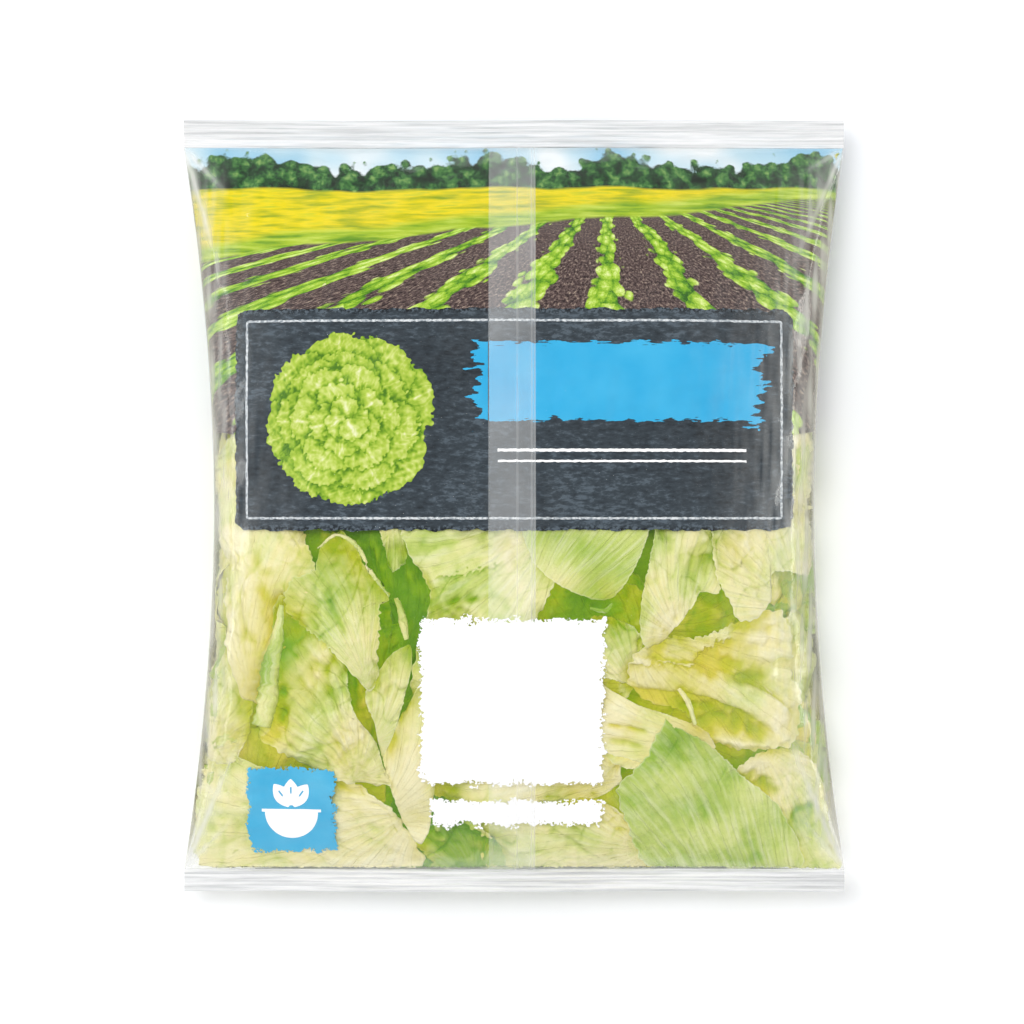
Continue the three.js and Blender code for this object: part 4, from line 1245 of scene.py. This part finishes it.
# Leaves that show in the window, from the nearest to the film to the deepest, in mm on the plan. A fold is
# its kind, its path, its width, its height and, on some, how much greener it is painted, which on sunken
# folds is painted shade.
WINDOW_LEAVES = (
    dict(name="smooth_green", depth=0.9, tone=0.66, seed=19, heading=60, spread=3.0, rib=0.4, swell=0.9,
         blister=0.1, frill=0.5, ragged=0.005, fade=0.2, crease=0.2, cells=72,
         outline=((4, -4), (24, 4), (52, 6), (50, -9), (44, -24), (37, -33), (31, -35), (22, -32),
                  (12, -26), (6, -18))),
    dict(name="broad_green", depth=0.9, tone=0.68, seed=26, heading=120, spread=3.6, rib=0.8, swell=1.2,
         blister=0.3, frill=0.6, fade=0.1, crease=0.4, cells=96,
         folds=(("ridge", ((86, -120), (93, -138)), 3.0, -0.7, 0.02),
                ("ridge", ((62, -90), (84, -122)), 4, 1.4)),
         outline=((56, -80.6), (57.5, -80.8), (71, -88), (80.5, -96.5), (84, -100.4), (97.4, -110.8),
                  (103, -119.3), (108.5, -138.4), (80, -138.4), (52, -138.4), (43, -122), (38.5, -107),
                  (48.4, -94))),
    dict(name="folded_upper", depth=1.0, tone=0.46, seed=27, heading=115, rib=0.5, frill=1.2, ragged=0.022,
         cells=84,
         folds=(("ridge", ((-80, -40), (-68, -50), (-52, -68)), 2.4, 1.8),
                ("ridge", ((-70, -30), (-62, -52)), 2.0, -1.6)),
         outline=((-75, -24), (-71.5, -14), (-65, -10), (-59.5, -14), (-54.5, -23.5), (-46, -34),
                  (-49.5, -37), (-50, -52), (-52, -68), (-60, -62), (-71, -51), (-82, -43), (-86, -36),
                  (-83, -28))),
    dict(name="broad_pale_green", depth=3.4, tone=0.42, seed=15, heading=110, rib=1.0, swell=1.7,
         blister=0.65, ragged=0.014, cells=104,
         folds=(("ridge", ((-86, -66), (-88, -74), (-86.5, -84)), 1.9, -2.2, 0.08),
                ("ridge", ((-72, -48), (-62, -56), (-54, -66)), 1.6, -2.4, 0.1),
                ("ridge", ((-78, -62), (-60, -98)), 2.2, 1.5),
                ("ridge", ((-72, -56), (-68, -80)), 2.2, -1.2)),
         outline=((-88, -34), (-72, -46), (-63, -60), (-62, -70), (-58, -80), (-52, -88), (-49, -97),
                  (-47, -105), (-61, -104), (-72, -101), (-81, -97), (-89, -91), (-97, -87), (-96, -70),
                  (-92, -53))),
    dict(name="pale_pointed", depth=1.8, tone=0.38, seed=14, heading=70, rib=0.9, blister=0.4, frill=0.7,
         ragged=0.008,
         outline=((-38.5, -52), (-38, -60), (-40, -70), (-43.5, -82), (-48.5, -93), (-50, -91), (-52, -81),
                  (-55.5, -71), (-51, -63), (-45.3, -55))),
    dict(name="pale_stem", depth=3.0, tone=0.2, seed=13, heading=75, rib=1.3, blister=0.2, crease=0.3,
         outline=((-33, -66), (-30, -84), (-30, -104), (-33, -124), (-38, -126), (-44, -112), (-48, -98),
                  (-48.5, -92), (-40, -77))),
    dict(name="folded_pale", depth=2.0, tone=0.44, seed=16, heading=200, rib=0.7, blister=0.6, cells=90,
         folds=(("flap", ((-30, -26), (-16, -24), (-2, -20)), 7, 2.6),
                ("ridge", ((-2, -24), (6, -30), (4, -38)), 2, 1.6),
                ("ridge", ((-26, -36), (-12, -34), (2, -37)), 1.8, -2)),
         outline=((-40, -4), (-17, 4), (6, 2), (16, -10), (14, -30), (4, -46), (-17, -50), (-31, -46),
                  (-32.5, -38), (-31.5, -32), (-34, -26), (-39.5, -16))),
    dict(name="pale_right", depth=1.2, tone=0.33, seed=20, heading=120, rib=0.8, blister=0.8, ragged=0.014,
         crease=1.0, cells=90,
         outline=((76, 16), (90, 24), (112, 26), (113, -4), (114, -24), (109, -26), (103.5, -24.2),
                  (99, -24.6), (96.6, -26.5), (96.8, -35), (90, -42), (84, -42), (79, -34), (75, -20))),
    dict(name="pale_upright", depth=2.6, tone=0.4, seed=18, heading=95, rib=1.1, crease=0.6,
         outline=((53, 4), (70, 6), (77, -6), (77, -20), (76, -32), (70, -32), (66, -38), (60, -46),
                  (56, -52), (48, -52), (46.5, -38), (48.5, -28), (52, -10))),
    dict(name="cream_ribs", depth=2.4, tone=0.1, seed=23, heading=160, rib=0.7, blister=0.12, frill=0.2,
         crease=0.2, cells=72,
         folds=(("ridge", ((28, -81), (38, -82.5), (52, -85)), 0.9, -1.8, 0.1),
                ("ridge", ((32, -72), (48, -78), (66, -84)), 2.2, 1.4),
                ("ridge", ((34, -88), (50, -90)), 1.2, -1.0, 0.1)),
         outline=((29, -66), (38, -70), (47, -74.5), (58, -78), (70, -83), (75, -89), (72, -97), (56, -97),
                  (44, -95), (33, -91), (28, -78))),
    dict(name="cream_ribs_low", depth=2.6, tone=0.12, seed=22, heading=210, rib=1.4, blister=0.15,
         crease=0.2,
         outline=((32, -84), (48, -84), (58, -88), (51, -94), (45, -98), (38, -97), (31, -90))),
    dict(name="curled_cream", depth=5.6, tone=0.13, seed=24, heading=-25, rib=0.2, swell=0.8, blister=0.3,
         frill=0.6, ragged=0.02, fade=0.1, crease=0.3, cells=114,
         folds=(("flap", ((42, -60), (54, -58.5), (66, -59.5), (70, -55.5), (77, -50.5), (84, -49)), 9, 4.6),
                ("roll", ((43, -62), (58.8, -63.7), (70.1, -65.1), (82.4, -70.3), (92.7, -75), (106, -84)),
                 5.4, 4.6),
                ("ridge", ((66, -58), (80, -60), (98, -68)), 5.5, -2.6, 0.1),
                ("ridge", ((58, -71), (80, -80), (100, -88)), 3.6, -3.4, 0.16),
                ("ridge", ((72, -86), (86, -89.5), (108, -88)), 2.2, 3.4),
                ("ridge", ((94, -42), (103, -60), (107, -80)), 8, 3.6)),
         outline=((42, -60), (48.5, -52.4), (58.8, -50), (68.2, -49.5), (75.8, -47), (84, -43), (93, -39.5),
                  (98, -39), (103, -43), (106, -51), (107, -66), (110, -78), (109, -88), (101, -92),
                  (88, -92), (77, -90), (70, -84), (63, -77), (54, -74), (47, -71), (43, -66))),
    dict(name="striped_pale", depth=3.0, tone=0.42, seed=21, heading=110, rib=0.8,
         outline=((28, -42), (40, -43), (48, -50), (46, -58), (46, -67), (38, -65), (30, -61))),
    dict(name="pale_corner", depth=2.4, tone=0.34, seed=25, heading=-60, rib=1.0,
         folds=(("ridge", ((82, -104), (92, -104), (102, -107)), 3, -2.4, 0.08),
                ("ridge", ((104, -118), (116, -112)), 2.5, -2, 0.1)),
         outline=((84, -101), (90, -95), (104, -92), (116, -100), (122, -128), (123, -138.4), (104, -138.4),
                  (98, -119))),
    dict(name="cream_left", depth=1.6, tone=0.15, seed=12, heading=85, rib=1.0, swell=1.9, frill=1.6,
         ragged=0.014, crease=0.8, cells=90,
         folds=(("ridge", ((-96, -14), (-93, -34), (-85, -54)), 3.0, -2.2),
                ("ridge", ((-90, -28), (-82, -36), (-78, -30)), 2.2, 1.8),
                ("ridge", ((-104, -30), (-98, -60)), 2.4, -1.6)),
         outline=((-111, 24), (-98, 24), (-82, -6), (-75, -20), (-74, -32), (-80, -44), (-88, -58),
                  (-93, -76), (-100, -74), (-107, -60), (-111, -43), (-112, -10))),
    dict(name="cream_slip", depth=3.6, tone=0.3, seed=11, heading=60, rib=1.0, crease=0.8,
         outline=((-113, -56), (-106, -48), (-99, -64), (-100, -78), (-103, -90), (-108, -98), (-118, -92))),
    dict(name="cream_corner", depth=2.2, tone=0.22, seed=10, heading=175, rib=1.1, swell=1.9, ragged=0.016,
         crease=0.8, cells=90,
         outline=((-117, -94), (-104, -94.5), (-92, -99), (-80, -101), (-66, -102), (-55, -108),
                  (-44, -116), (-37.5, -127), (-36, -138.4), (-72, -138.4), (-112, -138.4), (-122, -128))),
    dict(name="lime_under_smooth", depth=6, tone=0.6, seed=17, heading=140, rib=0.8, dim=0.2,
         tilt=(-1.0, 1.5),
         outline=((4, -24), (33, -28), (46, -30), (52, -44), (50, -60), (38, -74), (26, -66), (6, -50))),
    dict(name="bottom_green", depth=4.8, tone=0.88, seed=9, heading=110, rib=0.8, crease=1.0, dim=0.45,
         cells=76,
         folds=(("flap", ((-40, -127), (-34, -132), (-31, -138)), 3, 3.4, -0.5),
                ("flap", ((-26, -115), (-17, -121), (-8, -127), (4, -129)), 5, 3.4, -0.4),
                ("ridge", ((-30, -118), (-26, -130)), 2, 2.6, -0.3)),
         outline=((-44, -110), (-28, -111), (-13, -121), (-4, -138.4), (-36, -138.4), (-44, -126))),
    dict(name="behind_patch", depth=3.0, tone=0.28, seed=29, heading=150, rib=0.8,
         outline=((-34, -50), (0, -46), (34, -56), (38, -84), (36, -108), (0, -113), (-28, -112),
                  (-36, -84))),
    dict(name="bottom_pale", depth=3.2, tone=0.34, seed=8, heading=170, rib=0.9, crease=0.9, dim=0.08,
         outline=((-16, -112), (12, -108), (36, -114), (46, -126), (49, -138.4), (18, -138.4),
                  (-10, -138.4))),
    dict(name="yellow_band", depth=4, tone=0.4, seed=7, heading=100, rib=0.5, dim=0.3,
         outline=((28, -106), (38, -106), (46, -116), (54, -138.4), (34, -138.4), (24, -122))),
    dict(name="pale_scrap", depth=3.6, tone=0.56, seed=30, heading=-80, ragged=0.03, cells=40,
         outline=((-51, 0), (-41, -2), (-38, -12), (-41, -22), (-46, -24), (-48, -16))),
    dict(name="inner_green", depth=9.2, tone=0.96, seed=1, heading=80, rib=0.8, swell=1.1, crease=1.2,
         dim=0.35,
         folds=(("flap", ((-48, -2), (-41, -20), (-40, -38)), 5, 3.4, -0.3),
                ("ridge", ((-33, -14), (-29, -48)), 2.5, 3, -0.2),
                ("flap", ((-58, -8), (-52, -20), (-54, -34)), 4, 3, -0.4)),
         outline=((-52, -2), (-38, 0), (-28, -32), (-26, -56), (-30, -84), (-42, -94), (-48, -70),
                  (-46, -40), (-54, -20))),
    dict(name="inner_green_left", depth=9.7, tone=0.86, seed=28, heading=100, rib=0.6, swell=1.1,
         crease=1.2, dim=0.3,
         folds=(("flap", ((-46, -10), (-58, -13), (-76, -8)), 5, 4, -0.45),
                ("ridge", ((-60, -60), (-52, -86)), 3, 3, -0.3)),
         outline=((-84, -4), (-60, 2), (-44, -10), (-42, -50), (-48, -84), (-56, -94), (-68, -84),
                  (-74, -50))),
    dict(name="inner_olive_right", depth=9.2, tone=0.6, seed=2, heading=20, rib=0.8, swell=1.1, crease=1.2,
         dim=0.3,
         folds=(("ridge", ((64, -30), (76, -40), (88, -50)), 2.5, 3, -0.2),
                ("flap", ((100, -26), (92, -38), (84, -56)), 5, 3)),
         outline=((62, -4), (88, -5), (112, -12), (113, -58), (84, -66), (60, -58), (54, -40))),
    dict(name="inner_olive_centre", depth=9.7, tone=0.7, seed=3, heading=150, rib=0.6, swell=1.1,
         crease=1.0, dim=0.35,
         folds=(("flap", ((10, -30), (26, -40), (44, -42)), 4, 3.4, -0.2),
                ("ridge", ((44, -28), (40, -46), (44, -62)), 2, 3)),
         outline=((4, -5), (30, -12), (50, -30), (58, -50), (60, -74), (54, -100), (42, -116), (26, -106),
                  (18, -70), (8, -40))),
    dict(name="inner_yellow_left", depth=9.2, tone=0.42, seed=4, heading=60, rib=0.6, swell=1.1, dim=0.3,
         outline=((-112, -50), (-92, -60), (-68, -80), (-48, -106), (-60, -122), (-85, -126), (-110, -116),
                  (-118, -85))),
    dict(name="inner_lime_right", depth=9.2, tone=0.5, seed=5, heading=-20, rib=0.6, swell=1.1, dim=0.3,
         outline=((46, -64), (80, -66), (114, -76), (119, -110), (90, -126), (60, -116), (44, -90))),
    dict(name="inner_green_bottom", depth=8.2, tone=0.92, seed=6, heading=10, rib=0.4, swell=1.1, dim=0.35,
         outline=((-64, -98), (-38, -92), (-10, -98), (14, -112), (10, -138.4), (-40, -138.4), (-62, -128))),
)
# Margins that curl over into tubes, with their radii from end to end, and the sweep of the curl in degrees
CURLED_EDGES = (
    dict(name="rolled_margin", tone=0.6, seed=39, ragged=9, radii=(0.9, 2.6, 4.0, 5.0, 4.4), lift=0.6,
         sweep=(-30, 205),
         path=((-87, -37), (-89.5, -49), (-92, -61), (-94, -72), (-96.5, -83))),
    dict(name="frilled_margin", tone=0.36, seed=33, ragged=46, radii=(0.3, 0.8, 0.9, 0.9, 0.4),
         path=((-73, -16), (-66, -11), (-58.5, -15), (-53, -25), (-46, -34))),
    dict(name="small_green_curl", tone=0.4, seed=34, ragged=24, radii=(1.0, 1.9, 0.8), lift=1.4,
         path=((-44, -34), (-42, -41), (-40, -50))),
    dict(name="tiny_curl", tone=0.8, seed=36, ragged=26, radii=(0.5, 1.1, 0.4), lift=1.6,
         path=((28, -38), (33, -39), (36, -36))),
    dict(name="thin_stem", tone=0.3, seed=38, ragged=6, radii=(0.8, 1.2, 0.9), lift=2.0, sweep=(-20, 200),
         path=((61, -68), (65, -74), (68, -82))),
)


def join_pieces(pieces, name):
    bpy.ops.object.select_all(action="DESELECT")
    for piece in pieces:
        piece.select_set(True)
    bpy.context.view_layer.objects.active = pieces[0]
    bpy.ops.object.join()
    joined = bpy.context.object
    joined.name = joined.data.name = name
    return joined


lying_over = []
front_layer = [curled_edge(covers=lying_over, **edge) for edge in CURLED_EDGES]
window = [leaf_sheet(covers=lying_over, **leaf) for leaf in WINDOW_LEAVES]
# Where each layer's leaves start and end in the table. Their shade is in their colour, so they cast none.
LAYERS = (
    ("front_leaves", 0, 5),
    ("middle_leaves", 5, 12),
    ("under_leaves", 12, 22),
    ("inner_leaves", 22, 30),
)
for name, first, last in LAYERS:
    leaf_layer = join_pieces(window[first:last] + (front_layer if first == 0 else []), name)
    finish_piece(leaf_layer, leaf_skin)
    leaf_layer.visible_shadow = False
    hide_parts("salad_bag")

# Filling of the bag
# Behind the leaves that show, the bag is packed with more of the same: a lumpy heap in the middle, with
# smaller pieces laid over it on the back, round the sides and under the print.
HEAP_SQUARENESS = 0.72
UNDER_FRONT, OVER_BACK = 11, 7
bpy.ops.mesh.primitive_uv_sphere_add(segments=96, ring_count=64, radius=1)
heap = bpy.context.object
heap.name = heap.data.name = "leaf_heap"
ball = np.empty(len(heap.data.vertices) * 3)
heap.data.vertices.foreach_get("co", ball)
ball = ball.reshape(-1, 3)
square = np.sign(ball[:, :2]) * np.abs(ball[:, :2]) ** HEAP_SQUARENESS
heap_y = BODY_MIDDLE + square[:, 1] * (BODY_HALF - 8)
heap_x = square[:, 0] * (half_width(heap_y) - 7)
upper = front_height(heap_x / half_width(heap_y), heap_y, False) - UNDER_FRONT
lower = back_height(heap_x / half_width(heap_y), heap_y, False) + OVER_BACK
upper = np.maximum(upper, lower + 1)
rise = (upper + lower) / 2 + ball[:, 2] * (upper - lower) / 2
rise = np.clip(rise + 1.8 * ripple(heap_x, heap_y, 24, 71), lower - 1.5, upper + 2)
heap.data.vertices.foreach_set("co", (np.stack([heap_x, heap_y, rise], axis=-1) * MM).ravel())
# Painted shade: the heap is coloured almost wholly in the shade colour.
for title, value in (("tone", 0.75), ("shade", 0.95), ("margin", 9.0)):
    layer = heap.data.attributes.new(title, "FLOAT", "POINT")
    layer.data.foreach_set("value", np.full(len(heap.data.vertices), value, dtype=np.float32))
heap.data.uv_layers[0].name = "fan"
bpy.ops.object.shade_smooth()
finish_piece(heap, leaf_skin)
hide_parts("salad_bag")


def loose_outline(draw, centre, size):
    points = []
    for k in range(8):
        angle = 2 * math.pi * (k + draw.uniform(-0.25, 0.25)) / 8
        radius = size * draw.uniform(0.72, 1.15)
        points.append((centre[0] + radius * math.cos(angle), centre[1] + 0.8 * radius * math.sin(angle)))
    return points


MIXED_TONES = (0.05, 0.2, 0.35, 0.5, 0.85)
# Leaves round the sides get painted shade all over; those on the front also sink and tilt in.
WRAP_SINK, WRAP_TILT, WRAP_DIM = 2.4, 2.6, 0.25


def loose_leaves(name, side, rows, columns, seed, cells, sizes=(20, 29), depths=(1, 3), tones=MIXED_TONES):
    """Leaves at loose places on a grid. Those that wrap round a side dip under the ones in the window."""
    draw = np.random.default_rng(seed)
    covers, pieces = [], []
    for y in rows:
        for x in columns:
            centre = (x + draw.uniform(-8, 8), y + draw.uniform(-8, 8))
            size = draw.uniform(*sizes)
            if side != "wrap":
                fit = half_width(np.array(centre[1])) - size * 0.9
                centre = (float(np.clip(centre[0], -fit, fit)), centre[1])
            centre = (centre[0], float(np.clip(centre[1], -138 + size, 136 - size)))
            on_front = side == "wrap" and 0 < x < BAG_WIDTH
            inwards = (1 if x < BAG_WIDTH / 2 else -1) if on_front else 0
            pieces.append(
                leaf_sheet(
                    f"{name}_{len(pieces)}",
                    covers,
                    outline=loose_outline(draw, centre, size),
                    depth=draw.uniform(*depths) + WRAP_SINK * abs(inwards),
                    tilt=(WRAP_TILT * inwards, 0),
                    tone=draw.choice(tones),
                    dim=WRAP_DIM if side == "wrap" else 0,
                    seed=int(draw.integers(100, 900)),
                    heading=draw.uniform(0, 360),
                    cells=cells,
                    side=side,
                )
            )
    loose = join_pieces(pieces, name)
    finish_piece(loose, leaf_skin)
    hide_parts("salad_bag")


loose_leaves("back_leaves", BACK, range(-114, 131, 27), range(-92, 93, 31), 81, 22)
loose_leaves("upper_leaves", FRONT, range(20, 125, 36), range(-90, 91, 45), 83, 24)
round_the_sides = (-32, -10, 10, 240, 260, 282)
side_traits = dict(sizes=(17, 22), depths=(2.8, 3.8), tones=(0.2, 0.35, 0.5))
loose_leaves("side_leaves", "wrap", range(-122, 131, 20), round_the_sides, 85, 20, **side_traits)

# Table and lights
# A matt white table under one broad lamp overhead and softer ones at the sides, the head and the foot. The
# film mirrors two low strips at the sides and a bright room with a dark place overhead, at the camera.
TABLE_SIZE = 6
bpy.ops.mesh.primitive_plane_add(size=TABLE_SIZE)
table = bpy.context.object
table.name = "table"
table_glow = {"Emission Color": linear("#f2f4ff"), "Emission Strength": 0.11}
table_finish = {"Base Color": linear("#f8f9fc"), "Roughness": 0.8, **table_glow}
table.data.materials.append(new_material("white laminate table", table_finish)[0])

# Each lamp: where it hangs, its size in metres, its power in watts, and whether the film mirrors it
LAMPS = (
    ("overhead lamp", (-0.35, 0.3, 1.8), (0.7, 0.7), 14, False),
    ("left lamp", (-0.95, 0.2, 0.95), (0.5, 1.3), 3.0, False),
    ("right lamp", (0.95, 0.1, 0.95), (0.5, 1.3), 1.8, False),
    ("head lamp", (0.0, 1.0, 0.8), (1.2, 0.4), 1.7, False),
    ("foot lamp", (0.0, -1.0, 0.8), (1.2, 0.4), 2.0, False),
    ("left strip", (-1.1, 0.1, 0.24), (0.14, 1.3), 1.2, True),
    ("right strip", (1.1, -0.1, 0.24), (0.14, 1.3), 2.2, True),
)
for title, spot, size, power, mirrored in LAMPS:
    bpy.ops.object.light_add(type="AREA", location=spot)
    lamp = bpy.context.object
    lamp.name = title
    lamp.data.shape = "RECTANGLE"
    lamp.data.size, lamp.data.size_y = size
    lamp.data.energy = power
    lamp.visible_glossy = mirrored
    away = math.atan2(math.hypot(spot[0], spot[1]), spot[2])
    lamp.rotation_euler = (0, away, math.atan2(spot[1], spot[0]))

world = bpy.data.worlds.new("studio")
bpy.context.scene.world = world
world.use_nodes = True
tree = world.node_tree
ray = node(tree, "ShaderNodeTexCoord").outputs["Generated"]
height = node(tree, "ShaderNodeSeparateXYZ", None, {0: ray}).outputs[2]
path = node(tree, "ShaderNodeLightPath").outputs
darkening = {0: height, 1: 0.3, 2: 0.9, 3: 0.4, 4: 0.04}
mirrored_room = node(tree, "ShaderNodeMapRange", None, darkening).outputs[0]
glow = node(tree, "ShaderNodeMapRange", None, {0: path["Is Camera Ray"], 3: 0.42, 4: 1.0}).outputs[0]
either = {0: path["Is Glossy Ray"], 2: glow, 3: mirrored_room}
glow = node(tree, "ShaderNodeMix", {"data_type": "FLOAT"}, either).outputs[0]
tree.links.new(glow, tree.nodes["Background"].inputs["Strength"])
tree.nodes["Background"].inputs["Color"].default_value = (1, 1, 1, 1)
bpy.context.scene.view_settings.view_transform = "Standard"
